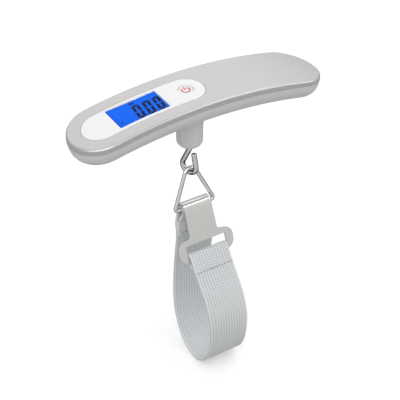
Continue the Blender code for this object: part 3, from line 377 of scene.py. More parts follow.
@dataclass(frozen=True)
class Webbing:
    """Woven webbing: ribs along it, picks slanting across them and firm selvedges. The weave's grooves and
    picks are painted darker as shade.

    Its UV map holds millimetres: u across from the middle, v along.
    """

    name: str = "woven_webbing"
    colour: Colour = (0.93, 0.95, 0.965)
    # Painted shade: the colour of the grooves between the ribs and of the shaded side of each pick.
    shade: Colour = (0.31, 0.33, 0.345)
    selvedge: Colour = (0.9, 0.9, 0.9)
    half_width_mm: float = 12.3
    selvedge_mm: float = 1.3
    rib_mm: float = 1.75
    pick_mm: float = 1.5
    twist_mm: float = 0.55
    weave_depth: float = 0.22 * MM

    def build(self) -> bpy.types.Material:
        """Makes the material."""
        g = Graph(self.name)
        across, along, _ = g.parts(g.uv())
        turn = 2 * math.pi
        wave = abs((across * (math.pi / self.rib_mm)).sine())
        rib = 1.0 - wave**6.0
        groove = 1.0 - (1.0 - wave) ** 3.0
        step = (across * (turn / (2 * self.rib_mm))).sine() * 0.30
        pick = ((along + step + across * 0.55) * (turn / self.pick_mm)).sine() * 0.5 + 0.5
        fine = ((along - across * 0.3) * (turn / self.twist_mm)).sine() * 0.5 + 0.5
        # The weave's relief, used both as its bump height and as the mask of painted shade in the grooves
        # and across the picks.
        weave_shade_and_height = groove * (0.42 + pick * 0.46 + fine * 0.12) + rib * 0.02
        place = g.object_coordinates()
        fibre = g.noise(place, 4200.0, 2.0, 0.7)
        cloud = g.noise(place, 70.0, 3.0)
        edge = ((abs(across) - (self.half_width_mm - self.selvedge_mm)) * 2.5).clamped()
        # Painted shade: darker towards the shade colour in the weave's grooves and across its picks.
        body = g.mixed(weave_shade_and_height * 0.8 + fibre * 0.2, self.shade, self.colour)
        worn = g.mixed(cloud * 0.35, body, shaded(self.colour, 0.90))
        tint = g.mixed(edge * 0.35, worn, self.selvedge)
        height = weave_shade_and_height * 0.85 + fibre * 0.15
        return g.surface(
            Base_Color=tint,
            Roughness=g.spread(fibre, 0.78, 0.95),
            Sheen_Weight=0.25,
            Sheen_Roughness=0.5,
            Normal=g.bump(height, self.weave_depth, 0.9),
        )


@dataclass(frozen=True)
class Thread:
    """Twisted sewing thread."""

    name: str = "sewing_thread"
    colour: Colour = (0.46, 0.48, 0.50)

    def build(self) -> bpy.types.Material:
        """Makes the material."""
        g = Graph(self.name)
        twist = g.noise(g.scaled(g.object_coordinates(), (9000.0, 3000.0, 9000.0)), 1.0, 1.0)
        return g.surface(
            Base_Color=g.mixed(twist, shaded(self.colour, 0.75), self.colour),
            Roughness=0.7,
            Normal=g.bump(twist, 0.03 * MM, 0.6),
        )


@dataclass(frozen=True)
class LitDisplay:
    """Blue display lit from behind, a little dimmer towards its edges. Its UV map runs 0 to 1."""

    name: str = "lit_display"
    middle: Colour = (0.0, 0.150, 1.0)
    rim: Colour = (0.0, 0.085, 0.62)
    glow: float = 0.86

    def build(self) -> bpy.types.Material:
        """Makes the material."""
        g = Graph(self.name)
        u, v, _ = g.parts(g.uv())
        reach = abs(u * 2.0 - 1.0).at_least(abs(v * 2.0 - 1.0))
        rim = ((reach - 0.90) * 10.0).clamped()
        fall = rim * 0.65 + (1.0 - v) * 0.18 + g.noise(g.uv(), 6.0) * 0.06
        tint = g.mixed(fall, self.middle, self.rim)
        return g.surface(
            Base_Color=g.mixed(0.9, tint, (0.0, 0.0, 0.0)),
            Roughness=0.22,
            Specular_IOR_Level=0.08,
            Emission_Color=tint,
            Emission_Strength=self.glow,
        )


@dataclass(frozen=True)
class Printed:
    """Ink or a display segment: one colour with a slight unevenness."""

    name: str
    colour: Colour
    roughness: float = 0.35

    def build(self) -> bpy.types.Material:
        """Makes the material."""
        g = Graph(self.name)
        spots = g.noise(g.object_coordinates(), 3000.0, 2.0)
        return g.surface(
            Base_Color=g.mixed(spots, shaded(self.colour, 0.85), self.colour),
            Roughness=g.spread(spots, self.roughness - 0.05, self.roughness + 0.05),
            Specular_IOR_Level=0.2,
        )


@dataclass(frozen=True)
class StudioFloor:
    """Plain pale floor, paler where the camera sees it than where it is mirrored or throws light."""

    name: str = "studio_floor"
    colour: Colour = (0.90, 0.90, 0.90)
    glow: float = 0.30
    bounce: float = 0.56

    def build(self) -> bpy.types.Material:
        """Makes the material."""
        g = Graph(self.name)
        cloud = g.noise(g.object_coordinates(), 2.0)
        tint = g.mixed(cloud, shaded(self.colour, 0.99), self.colour)
        seen = g.wire(g.node("ShaderNodeLightPath"), "Is Camera Ray")
        shown = g.mixed(seen, shaded(self.colour, self.bounce), tint)
        lit = g.mixed(seen, (0.0, 0.0, 0.0), tint)
        return g.surface(Base_Color=shown, Roughness=0.85, Emission_Color=lit, Emission_Strength=self.glow)


class Finishes:
    """Every finish of the scale, each built once."""

    def __init__(self) -> None:
        """Builds the materials."""
        self.steel = BrushedSteel().build()
        self.white = MouldedPlastic("white_panel_plastic", (0.95, 0.955, 0.96), 0.36, coat=0.15).build()
        self.grey = MouldedPlastic("grey_housing_plastic", (0.72, 0.72, 0.715), 0.42, 1800.0).build()
        self.dark = MouldedPlastic("dark_frame_plastic", (0.16, 0.16, 0.17), 0.5).build()
        self.black = MouldedPlastic("black_plastic", (0.02, 0.02, 0.02), 0.45).build()
        self.board = MouldedPlastic("green_board", (0.02, 0.16, 0.07), 0.4).build()
        self.rubber = MouldedPlastic("grey_rubber", (0.18, 0.18, 0.19), 0.8).build()
        self.red_lead = MouldedPlastic("red_lead_cover", (0.50, 0.03, 0.02), 0.45).build()
        self.grey_lead = MouldedPlastic("grey_lead_cover", (0.35, 0.35, 0.36), 0.5).build()
        # The chrome's rim paints a strong dark reflection at its edges.
        self.chrome = Plated("chrome_wire", (0.98, 0.98, 0.98), 0.06, 0.02, rim=0.97).build()
        brushed_long = (900.0, 60.0, 60.0)
        # The satin plate's rim paints a fainter dark reflection at its edges.
        self.satin = Plated("satin_plate", (0.98, 0.98, 0.955), 0.22, 0.03, brushed_long, rim=0.35).build()
        self.zinc = Plated("zinc_screw", (0.66, 0.67, 0.70), 0.30, 0.05).build()
        self.brass = Plated("brass", (0.76, 0.58, 0.28), 0.28, 0.05).build()
        milled = (2000.0, 200.0, 200.0)
        self.aluminium = Plated("milled_aluminium", (0.74, 0.75, 0.76), 0.36, 0.06, milled).build()
        self.webbing = Webbing().build()
        self.thread = Thread().build()
        self.display = LitDisplay().build()
        self.segment = Printed("display_segment", (0.002, 0.003, 0.016), 0.55).build()
        self.icon = Printed("red_icon_ink", (0.85, 0.14, 0.22), 0.4).build()
        self.floor = StudioFloor().build()


# ------------------------------------------------------------------ mesh helpers


def dress(obj: bpy.types.Object, material: bpy.types.Material) -> None:
    """Gives an object one material in every slot.

    Args:
        obj: the object to dress.
        material: its finish.
    """
    obj.data.materials.clear()
    obj.data.materials.append(material)


def put(obj: bpy.types.Object, body: Body, node: str = "") -> None:
    """Puts a piece on its body, hiding the CAD node it stands for.

    Args:
        obj: the piece.
        body: the body it rides on.
        node: the CAD node it stands for, if any.
    """
    if node:
        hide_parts(node)
    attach(obj, body.value)
    LOG.info("%s on %s", obj.name, body.value)


def wired(
    tree: bpy.types.NodeTree,
    kinds: dict[str, str],
    values: Iterable[tuple[str, str | int, object]],
    links: Iterable[tuple[str, str | int, str, str | int]],
) -> dict[str, bpy.types.Node]:
    """Fills a node tree from tables.

    Args:
        tree: the tree to fill.
        kinds: each node's type, by a label.
        values: values of inputs, each as a label, an input and its value.
        links: links, each as a label and an output, then a label and an input.

    Returns:
        The nodes by their labels.
    """
    made = {label: tree.nodes.new(kind) for label, kind in kinds.items()}
    for label, socket, value in values:
        made[label].inputs[socket].default_value = value
    for source, output, target, socket in links:
        tree.links.new(made[source].outputs[output], made[target].inputs[socket])
    return made


def piece(
    name: str,
    bm: bmesh.types.BMesh,
    material: bpy.types.Material,
    smooth_angle: float | None = 40.0,
) -> bpy.types.Object:
    """Turns a bmesh into a piece at the origin.

    Args:
        name: the piece's name.
        bm: its shape, in the row frame. It is freed.
        material: its finish.
        smooth_angle: edges sharper than this stay sharp, in degrees, or None for flat faces.

    Returns:
        The new object.
    """
    bmesh.ops.remove_doubles(bm, verts=bm.verts, dist=WELD)
    bmesh.ops.recalc_face_normals(bm, faces=bm.faces)
    mesh = bpy.data.meshes.new(name)
    bm.to_mesh(mesh)
    bm.free()
    obj = bpy.data.objects.new(name, mesh)
    bpy.context.scene.collection.objects.link(obj)
    mesh.materials.append(material)
    if smooth_angle is not None:
        mesh.shade_smooth()
        mesh.set_sharp_from_angle(angle=math.radians(smooth_angle))
    return obj


def settle(obj: bpy.types.Object) -> bpy.types.Object:
    """Bakes an object's modifiers into a plain mesh and removes them.

    Args:
        obj: an object with modifiers.

    Returns:
        The same object, with its evaluated mesh.
    """
    bpy.context.view_layer.update()
    graph = bpy.context.evaluated_depsgraph_get()
    mesh = bpy.data.meshes.new_from_object(obj.evaluated_get(graph))
    mesh.name = obj.name
    obj.modifiers.clear()
    obj.data = mesh
    return obj


def skinned(
    node: bpy.types.Object,
    name: str,
    material: bpy.types.Material,
    smooth_angle: float = 32.0,
    bevel: float = 0.0,
) -> bpy.types.Object:
    """Makes a smooth, finished copy of a CAD node, which it will stand for.

    Args:
        node: the CAD node's object.
        name: the new piece's name.
        material: its finish.
        smooth_angle: edges sharper than this stay sharp, in degrees.
        bevel: width of a bevel on its sharp edges, or 0 for none.

    Returns:
        The new object, which doesn't ride on a body yet.
    """
    bm = bmesh.new()
    bm.from_mesh(node.data)
    bmesh.ops.remove_doubles(bm, verts=bm.verts, dist=CAD_WELD)
    if bevel:
        bmesh.ops.dissolve_limit(bm, angle_limit=STILL_FLAT, verts=bm.verts, edges=bm.edges)
    obj = piece(name, bm, material, smooth_angle)
    if bevel:
        modifier = obj.modifiers.new("edge", "BEVEL")
        modifier.width = bevel
        modifier.segments = 2
        modifier.limit_method = "ANGLE"
        modifier.angle_limit = math.radians(45)
        modifier.harden_normals = True
        settle(obj)
    return obj


def follow_arch(obj: bpy.types.Object, radius: float, side: float = 1.0) -> None:
    """Makes the shading of a piece's top, or of its belly, follow the grip's arch exactly.

    Args:
        obj: a piece whose top lies on or beside the arch.
        radius: the arch's radius, about a line along Y below the origin.
        side: 1 for the top of the piece, -1 for its belly.
    """
    mesh = obj.data
    normals = [Vector(corner.vector) for corner in mesh.corner_normals]

    def ideal(point: Vector) -> Vector:
        """The arch's own normal at a point."""
        return Vector((point.x, 0.0, point.z + radius)).normalized() * side

    top: set[int] = set()
    for face in mesh.polygons:
        if face.normal.angle(ideal(face.center), math.pi) < ON_ARCH:
            top.update(face.vertices)
    for face in mesh.polygons:
        for index in face.loop_indices:
            corner = mesh.loops[index].vertex_index
            wanted = ideal(mesh.vertices[corner].co)
            if corner in top and face.normal.angle(wanted, math.pi) < BESIDE_ARCH:
                normals[index] = wanted
    mesh.normals_split_custom_set(normals)


def ring_bands(
    rings: Sequence[Sequence[Vector]], closed: bool = False, bm: bmesh.types.BMesh | None = None
) -> tuple[bmesh.types.BMesh, list[list[bmesh.types.BMVert]]]:
    """Joins rings of points with bands of quads, and closes free ends with a face.

    Args:
        rings: rings of the same number of points.
        closed: whether the last ring joins the first.
        bm: the bmesh to add them to, or None for a new one.

    Returns:
        The bmesh, and the new vertices ring by ring.
    """
    if bm is None:
        bm = bmesh.new()
    made = [[bm.verts.new(point) for point in ring] for ring in rings]
    pairs = list(zip(made, made[1:]))
    if closed:
        pairs.append((made[-1], made[0]))
    for first, second in pairs:
        for i in range(len(first)):
            j = (i + 1) % len(first)
            bm.faces.new((first[i], first[j], second[j], second[i]))
    if not closed:
        bm.faces.new(made[0])
        bm.faces.new(made[-1])
    return bm, made


def arc_points(centre: Point, radius: float, start: float, end: float, steps: int) -> list[Point]:
    """Points on an arc, angles in radians."""
    turns = [start + (end - start) * i / steps for i in range(steps + 1)]
    return [(centre[0] + radius * math.cos(a), centre[1] + radius * math.sin(a)) for a in turns]


def smooth_route(points: Sequence[Vector], steps: int) -> list[Vector]:
    """Catmull-Rom curve through points, with steps spans between each pair."""
    ends = [points[0] * 2 - points[1], *points, points[-1] * 2 - points[-2]]
    route = []
    for a, b, c, d in zip(ends, ends[1:], ends[2:], ends[3:]):
        for k in range(steps):
            t = k / steps
            cubic = (3 * b - a - 3 * c + d) * t**3
            route.append(0.5 * (2 * b + (c - a) * t + (2 * a - 5 * b + 4 * c - d) * t**2 + cubic))
    route.append(points[-1])
    return route


def evened(route: Sequence[Vector], spacing: float, passes: int = 6) -> list[Vector]:
    """Respaces a route evenly and softens its bends, with its ends kept.

    Args:
        route: the points to follow.
        spacing: the new distance between points.
        passes: how often each inner point moves towards its neighbours' middle.

    Returns:
        The new points.
    """
    lengths = [0.0]
    for a, b in zip(route, route[1:]):
        lengths.append(lengths[-1] + (b - a).length)
    count = max(int(round(lengths[-1] / spacing)), 2)
    spaced = []
    k = 0
    for i in range(count + 1):
        goal = lengths[-1] * i / count
        while k < len(lengths) - 2 and lengths[k + 1] < goal:
            k += 1
        share = (goal - lengths[k]) / max(lengths[k + 1] - lengths[k], 1e-12)
        spaced.append(route[k].lerp(route[k + 1], share))
    for _ in range(passes):
        inner = [a.lerp((b + c) / 2, 0.5) for b, a, c in zip(spaced, spaced[1:], spaced[2:])]
        spaced = [spaced[0], *inner, spaced[-1]]
    return spaced


def route_length(route: Sequence[Vector]) -> float:
    """Length along a route."""
    return sum((b - a).length for a, b in zip(route, route[1:]))


def wire_tube(
    name: str,
    points: Sequence[Vector],
    radius: float,
    material: bpy.types.Material,
    closed: bool = False,
    chamfer: float = 0.0,
    sides: int = 28,
) -> bpy.types.Object:
    """Round wire along points, its free ends chamfered.

    Args:
        name: the piece's name.
        points: the wire's centreline.
        radius: the wire's radius.
        material: its finish.
        closed: whether the wire is a closed loop.
        chamfer: size of the chamfer on a free end.
        sides: number of sides of its section.

    Returns:
        The new object.
    """
    count = len(points)
    rings = []
    across = None
    for i, point in enumerate(points):
        if closed:
            along = (points[(i + 1) % count] - points[i - 1]).normalized()
        else:
            along = (points[min(i + 1, count - 1)] - points[max(i - 1, 0)]).normalized()
        if across is None:
            across = along.orthogonal().normalized()
        across = (across - along * across.dot(along)).normalized()
        other = along.cross(across)
        turns = [2 * math.pi * k / sides for k in range(sides)]
        arms = [math.cos(a) * across + math.sin(a) * other for a in turns]
        if not closed and chamfer and i in (0, count - 1):
            sign = 1 if i == 0 else -1
            inner = [point + (radius - chamfer) * arm for arm in arms]
            outer = [point + radius * arm + along * chamfer * sign for arm in arms]
            rings += [inner, outer] if i == 0 else [outer, inner]
        else:
            rings.append([point + radius * arm for arm in arms])
    bm, _ = ring_bands(rings, closed)
    return piece(name, bm, material, 50.0)


# ------------------------------------------------------------------ repeated pieces


@dataclass
class StitchRow:
    """A row of lock stitches laid along a line, made by Geometry Nodes."""

    name: str
    start: Vector
    end: Vector
    out: Vector
    count: int = 9
    length: float = 1.5 * MM
    radius: float = 0.42 * MM
    flatness: float = 0.7
    segments: int = 10
    rings: int = 7

    def _tree(self, material: bpy.types.Material) -> bpy.types.NodeTree:
        """Builds the node tree: points on a line, a small rounded stitch at each."""
        tree = bpy.data.node_groups.new(f"{self.name}_nodes", "GeometryNodeTree")
        face = tree.interface
        face.new_socket("Geometry", in_out="OUTPUT", socket_type="NodeSocketGeometry")
        given = {"Start": "Vector", "End": "Vector", "Count": "Int"}
        given |= {"Radius": "Float", "Long": "Float", "Turn": "Rotation"}
        for label, kind in given.items():
            face.new_socket(label, in_out="INPUT", socket_type=f"NodeSocket{kind}")
        kinds = {
            "given": "NodeGroupInput",
            "result": "NodeGroupOutput",
            "line": "GeometryNodeMeshLine",
            "ball": "GeometryNodeMeshUVSphere",
            "size": "ShaderNodeCombineXYZ",
            "stretch": "GeometryNodeTransform",
            "place": "GeometryNodeInstanceOnPoints",
            "real": "GeometryNodeRealizeInstances",
            "smooth": "GeometryNodeSetShadeSmooth",
            "paint": "GeometryNodeSetMaterial",
        }
        values = [("ball", "Segments", self.segments), ("ball", "Rings", self.rings)]
        values += [("size", "Y", 1.0), ("size", "Z", self.flatness), ("paint", "Material", material)]
        links = (
            ("given", "Start", "line", "Start Location"),
            ("given", "End", "line", "Offset"),
            ("given", "Count", "line", "Count"),
            ("given", "Radius", "ball", "Radius"),
            ("given", "Long", "size", "X"),
            ("ball", "Mesh", "stretch", "Geometry"),
            ("size", "Vector", "stretch", "Scale"),
            ("line", "Mesh", "place", "Points"),
            ("stretch", "Geometry", "place", "Instance"),
            ("given", "Turn", "place", "Rotation"),
            ("place", "Instances", "real", "Geometry"),
            ("real", "Geometry", "smooth", "Geometry"),
            ("smooth", "Geometry", "paint", "Geometry"),
            ("paint", "Geometry", "result", "Geometry"),
        )
        made = wired(tree, kinds, values, links)
        made["line"].mode = "END_POINTS"
        return tree

    def build(self, material: bpy.types.Material) -> bpy.types.Object:
        """Makes the row.

        Args:
            material: the thread's finish.

        Returns:
            The row as one plain mesh at the origin.
        """
        mesh = bpy.data.meshes.new(self.name)
        obj = bpy.data.objects.new(self.name, mesh)
        bpy.context.scene.collection.objects.link(obj)
        tree = self._tree(material)
        modifier = obj.modifiers.new("stitches", "NODES")
        modifier.node_group = tree
        along = (self.end - self.start).normalized()
        side = self.out.cross(along).normalized()
        turn = Matrix((along, side, along.cross(side))).transposed().to_euler()
        values = {
            "Start": self.start,
            "End": self.end,
            "Count": self.count,
            "Radius": self.radius,
            "Long": self.length / (2 * self.radius),
            "Turn": turn,
        }
        for item in tree.interface.items_tree:
            if item.in_out == "INPUT" and item.name in values:
                modifier[item.identifier] = values[item.name]
        settle(obj)
        if not obj.data.materials:
            obj.data.materials.append(material)
        return obj


# ------------------------------------------------------------------ the grip


@dataclass
class Grip:
    """The arched grip: cover, panel, housing and what fills them."""

    arch_radius: float = 283.0 * MM

    def arch(self, x: float) -> float:
        """Height of the grip's top surface at x."""
        return math.sqrt(self.arch_radius**2 - x * x) - self.arch_radius

    def build(self, nodes: dict[str, bpy.types.Object], finishes: Finishes) -> None:
        """Dresses the grip.

        Args:
            nodes: the frame's CAD nodes.
            finishes: the scale's finishes.
        """
        shells = (
            ("top_cover", "steel_cover", finishes.steel, 30.0, "brushed_steel", Body.HANDLE),
            ("display_panel", "white_panel", finishes.white, 30.0, "white_plastic", Body.HANDLE),
            ("lower_housing", "grey_housing", finishes.grey, 38.0, "grey_plastic", Body.HANDLE),
            ("power_button", "button_cap", finishes.white, 30.0, "white_plastic", Body.BUTTON),
            ("battery_door", "twist_door", finishes.grey, 30.0, "grey_plastic", Body.DOOR),
            ("neck_bush", "brass_bush", finishes.brass, 30.0, "brass", Body.HANDLE),
        )
        arched = {"top_cover": 1.0, "display_panel": 1.0, "lower_housing": -1.0}
        for node, name, material, angle, slot, body in shells:
            obj = skinned(nodes[node], name, material, angle)
            if node in arched:
                follow_arch(obj, self.arch_radius, arched[node])
            put(obj, body, node)
        inner = {
            "upper_frame": finishes.dark,
            "backlight_panel": finishes.white,
            "zebra_strip": finishes.rubber,
            "circuit_board": finishes.board,
            "controller_chip": finishes.black,
            "tact_switch": finishes.black,
            "load_cell": finishes.aluminium,
            "gauge_cover": finishes.white,
            "gauge_lead": finishes.grey_lead,
            "battery_lead_positive": finishes.red_lead,
            "battery_lead_negative": finishes.black,
            "coin_cell": finishes.zinc,
            "battery_contact_positive": finishes.brass,
            "battery_contact_negative": finishes.brass,
            "load_cell_screw_1": finishes.zinc,
            "load_cell_screw_2": finishes.zinc,
            "hook_washer": finishes.zinc,
            "hook_nut": finishes.brass,
            "lcd_cell": finishes.display,
        }
        for i in range(1, 5):
            inner[f"housing_screw_{i}"] = finishes.zinc
        for node, material in inner.items():
            dress(nodes[node], material)
        LOG.info("%d inner pieces dressed", len(inner))


@dataclass
class Display:
    """The lit display face, its digits and the icon on the power button."""

    grip: Grip
    board_start: float = -60.0 * MM
    board_end: float = -3.0 * MM
    window_x: float = -36.0 * MM
    length: float = 28.6 * MM
    width: float = 17.4 * MM
    face_height: float = 0.75 * MM
    face_lift: float = 0.03 * MM
    face_depth: float = 0.02 * MM
    face_steps: int = 16
    segment_low: float = 0.035 * MM
    segment_high: float = 0.06 * MM
    segment_gap: float = 0.012
    digit_spans: tuple[Point, ...] = ((0.415, 0.565), (0.625, 0.775), (0.835, 0.975))
    digit_top: float = 0.25
    digit_bottom: float = 0.945
    stroke: float = 1.55 * MM
    slant: float = 0.10
    unit_stroke: float = 0.014
    icon_outer: float = 2.55 * MM
    icon_inner: float = 1.85 * MM
    icon_lift: float = 0.05 * MM
    icon_arc: Point = (math.radians(125), math.radians(415))
    icon_bar_half: float = 0.33 * MM
    icon_bar_span: Point = (0.5 * MM, 2.9 * MM)

    def place(self) -> Matrix:
        """The board's own frame: on the chord between its ends, +Z square to it."""
        rise = self.grip.arch(self.board_end) - self.grip.arch(self.board_start)
        slope = rise / (self.board_end - self.board_start)
        middle = Vector(
            (
                (self.board_start + self.board_end) / 2,
                0.0,
                (self.grip.arch(self.board_start) + self.grip.arch(self.board_end)) / 2,
            )
        )
        return Matrix.Translation(middle) @ Matrix.Rotation(-math.atan(slope), 4, "Y")

    def centre(self) -> float:
        """The window's middle along the board."""
        inverse = self.place().inverted()
        return (inverse @ Vector((self.window_x, 0, self.grip.arch(self.window_x)))).x

    def point(self, u: float, v: float, up: float) -> Vector:
        """A point on the face: u from the far left, v from the far edge to the near one."""
        x = self.centre() + (u - 0.5) * self.length
        y = (0.5 - v) * self.width
        return self.place() @ Vector((x, y, self.face_height + up))

    def face(self, material: bpy.types.Material) -> bpy.types.Object:
        """The lit face, a thin plate with its own UV map."""
        steps = self.face_steps
        bm = bmesh.new()
        layer = bm.loops.layers.uv.new("UVMap")
        marks = [i / steps for i in range(steps + 1)]
        grid = [[bm.verts.new(self.point(u, v, self.face_lift)) for v in marks] for u in marks]
        where = {vert: (u, 1 - v) for u, column in zip(marks, grid) for v, vert in zip(marks, column)}
        for i in range(steps):
            for j in range(steps):
                face = bm.faces.new((grid[i][j], grid[i][j + 1], grid[i + 1][j + 1], grid[i + 1][j]))
                for loop in face.loops:
                    loop[layer].uv = where[loop.vert]
        rim = [grid[i][0] for i in range(steps)] + [grid[steps][j] for j in range(steps)]
        rim += [grid[i][steps] for i in range(steps, 0, -1)] + [grid[0][j] for j in range(steps, 0, -1)]
        down = self.place().to_3x3() @ Vector((0, 0, -self.face_depth))
        low = [bm.verts.new(v.co + down) for v in rim]
        for i in range(len(rim)):
            j = (i + 1) % len(rim)
            bm.faces.new((rim[i], rim[j], low[j], low[i]))
        bm.faces.new(list(reversed(low)))
        return piece("display_face", bm, material, 30.0)

    def bar(self, bm: bmesh.types.BMesh, corners: Sequence[Point]) -> None:
        """Adds one flat display segment with these (u, v) corners."""
        heights = (self.segment_low, self.segment_high)
        ring_bands([[self.point(u, v, height) for u, v in corners] for height in heights], bm=bm)

    def zero(self, bm: bmesh.types.BMesh, left: float, right: float) -> None:
        """Adds a seven-segment zero between two u positions."""
        su = self.stroke / self.length
        sv = self.stroke / self.width
        top, bottom = self.digit_top, self.digit_bottom
        middle = (top + bottom) / 2
        gap = self.segment_gap

        def lean(u: float, v: float) -> Point:
            """Moves a point sideways by the slant, by its height on the digit."""
            return (u + self.slant * (middle - v) * self.width / self.length, v)

        shapes = []
        ends = ((top, 1), (bottom, -1))
        for end, way in ends:
            inside = end + way * sv
            shapes.append([(left + gap, end), (right - gap, end), (right - su, inside), (left + su, inside)])
        for edge, inner in ((left, left + su), (right, right - su)):
            for end, way in ends:
                outside = [(edge, end + way * gap * 1.6), (inner, end + way * (sv + gap))]
                inside = [(inner, middle - way * sv * 0.45), (edge, middle - way * gap * 0.8)]
                shapes.append(outside + inside)
        for shape in shapes:
            self.bar(bm, [lean(u, v) for u, v in shape])

    def digits(self, material: bpy.types.Material) -> bpy.types.Object:
        """The three zeros, the point between them, and the small marks."""
        bm = bmesh.new()
        for left, right in self.digit_spans:
            self.zero(bm, left, right)
        for u, v, du, dv in ((0.592, 0.915, 0.010, 0.035), (0.09, 0.80, 0.0225, 0.022)):
            self.bar(bm, [(u - du, v - dv), (u + du, v - dv), (u + du, v + dv), (u - du, v + dv)])
        self.unit_mark(bm)
        return piece("display_digits", bm, material, None)

    def unit_mark(self, bm: bmesh.types.BMesh) -> None:
        """Adds the small unit mark above the first zero, in plain strokes."""
        strokes = [
            ((0.452, 0.04), (0.452, 0.17)),
            ((0.455, 0.12), (0.482, 0.075)),
            ((0.462, 0.11), (0.484, 0.17)),
            ((0.500, 0.09), (0.528, 0.09)),
            ((0.500, 0.09), (0.500, 0.15)),
            ((0.500, 0.15), (0.528, 0.15)),
            ((0.528, 0.09), (0.528, 0.205)),
            ((0.500, 0.205), (0.528, 0.205)),
        ]
        for (u0, v0), (u1, v1) in strokes:
            along = Vector((u1 - u0, v1 - v0)).normalized()
            a = -along.y * self.unit_stroke / 2
            b = along.x * self.unit_stroke
            self.bar(bm, [(u0 + a, v0 + b), (u1 + a, v1 + b), (u1 - a, v1 - b), (u0 - a, v0 - b)])

    def icon(self, material: bpy.types.Material) -> bpy.types.Object:
        """The power ring on the button: an open ring with a short bar in its gap."""
        low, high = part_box("power_button")
        centre = Vector(((low[0] + high[0]) / 2, (low[1] + high[1]) / 2, high[2]))
        outer, inner, lift = self.icon_outer, self.icon_inner, self.icon_lift
        section = ((outer, -0.12), (outer, 0.02), (inner, 0.0), (inner, -0.14))
        rings = []
        for along in arc_points((0.0, 0.0), 1.0, *self.icon_arc, 40):
            way = Vector((*along, 0.0))
            rings.append([centre + way * radius + Vector((0, 0, up * MM + lift)) for radius, up in section])
        bm, _ = ring_bands(rings)
        half, (start, end) = self.icon_bar_half, self.icon_bar_span
        corners = [(-half, start), (half, start), (half, end), (-half, end)]
        heights = (-0.15 * MM, lift)
        ring_bands([[centre + Vector((x, y, height)) for x, y in corners] for height in heights], bm=bm)
        return piece("button_icon", bm, material, 30.0)

    def build(self, finishes: Finishes) -> None:
        """Makes the face, digits and icon and puts each on its body."""
        put(self.face(finishes.display), Body.HANDLE)
        put(self.digits(finishes.segment), Body.HANDLE)
        put(self.icon(finishes.icon), Body.BUTTON)


# ------------------------------------------------------------------ hook and ring


@dataclass
class HookAndRing:
    """The swivel hook and the triangle ring that hangs in it, both of bent wire."""

    neck_x: float = -5.3 * MM
    stem_top: float = -6.1 * MM
    hook_radius: float = 1.52 * MM
    plane_angle: float = math.radians(23.9)
    bend: Point = (3.0 * MM, -37.0 * MM)
    bend_radius: float = 3.0 * MM
    bowl: Point = (0.37 * MM, -49.1 * MM)
    bowl_radius: float = 4.46 * MM
    tip: Point = (-2.7 * MM, -40.3 * MM)
    ring_radius: float = 1.11 * MM
    ring_half_width: float = 12.8 * MM
    apex_z: float = -50.41 * MM
    apex_radius: float = 3.7 * MM
    corner_radius: float = 1.4 * MM
    bar: Point = (-4.8 * MM, -73.2 * MM)

    def hook_point(self, h: float, z: float) -> Vector:
        """From the hook's own plane to the row frame."""
        return Vector((self.neck_x - h * math.sin(self.plane_angle), h * math.cos(self.plane_angle), z))

    def hook_route(self) -> list[Vector]:
        """The hook's centreline: stem, back bend, bowl and tip."""
        bend, bowl, tip = Vector(self.bend), Vector(self.bowl), Vector(self.tip)
        across = bowl - bend
        radii = self.bend_radius + self.bowl_radius
        heading = math.atan2(across.y, across.x) + math.asin(radii / across.length)
        reach = tip - bowl
        leaving = math.atan2(reach.y, reach.x) - math.asin(self.bowl_radius / reach.length)
        route = [(0.0, self.stem_top + (self.bend[1] - self.stem_top) * i / 12) for i in range(12)]
        route += arc_points(self.bend, self.bend_radius, math.pi, heading + 3 * math.pi / 2, 10)
        first = Vector(route[-1])
        second = Vector(arc_points(self.bowl, self.bowl_radius, heading + math.pi / 2, 0, 1)[0])
        route += [tuple(first.lerp(second, k / 6)) for k in range(1, 6)]
        entry, leave = heading + math.pi / 2, leaving - 3 * math.pi / 2
        route += arc_points(self.bowl, self.bowl_radius, entry, leave, 30)
        last = Vector(route[-1])
        route += [tuple(last.lerp(tip, k / 6)) for k in range(1, 7)]
        flat = evened([Vector(point) for point in route], 0.55 * MM, 2)
        return [self.hook_point(point.x, point.y) for point in flat]

    def ring_route(self) -> list[Vector]:
        """The ring's closed centreline in its tilted plane."""
        apex = Vector((self.neck_x, 0.0, self.apex_z))
        foot = Vector((self.neck_x, *self.bar))
        down = (foot - apex).normalized()
        height = (foot - apex).length
        lean = math.atan(self.ring_half_width / height)
        peak = 0.0
        for _ in range(20):
            peak = self.apex_radius / math.sin(lean) - self.apex_radius
            lean = math.atan(self.ring_half_width / (height + peak))
        corners = [
            (Vector((0.0, -peak)), self.apex_radius),
            (Vector((self.ring_half_width, height)), self.corner_radius),
            (Vector((-self.ring_half_width, height)), self.corner_radius),
        ]
        outline: list[Vector] = []
        for i, (corner, radius) in enumerate(corners):
            before = (corners[i - 1][0] - corner).normalized()
            after = (corners[(i + 1) % 3][0] - corner).normalized()
            half = before.angle(after) / 2
            centre = corner + (before + after).normalized() * radius / math.sin(half)
            start = corner + before * radius / math.tan(half) - centre
            end = corner + after * radius / math.tan(half) - centre
            outline += [centre + start.slerp(end, k / 12).normalized() * radius for k in range(13)]
        spaced: list[Vector] = []
        for i, here in enumerate(outline):
            after = outline[(i + 1) % len(outline)]
            parts = max(int((after - here).length / (1.2 * MM)), 1)
            spaced += [here.lerp(after, k / parts) for k in range(parts)]
        return [apex + Vector((1, 0, 0)) * point.x + down * point.y for point in spaced]

    def build(self, finishes: Finishes) -> None:
        """Makes both wires."""
        chrome = finishes.chrome
        hook = wire_tube("chrome_hook", self.hook_route(), self.hook_radius, chrome, chamfer=0.25 * MM)
        ring = wire_tube("chrome_ring", self.ring_route(), self.ring_radius, chrome, closed=True)
        put(hook, Body.HOOK, "hook")
        put(ring, Body.RING, "triangle_ring")


# ------------------------------------------------------------------ webbing


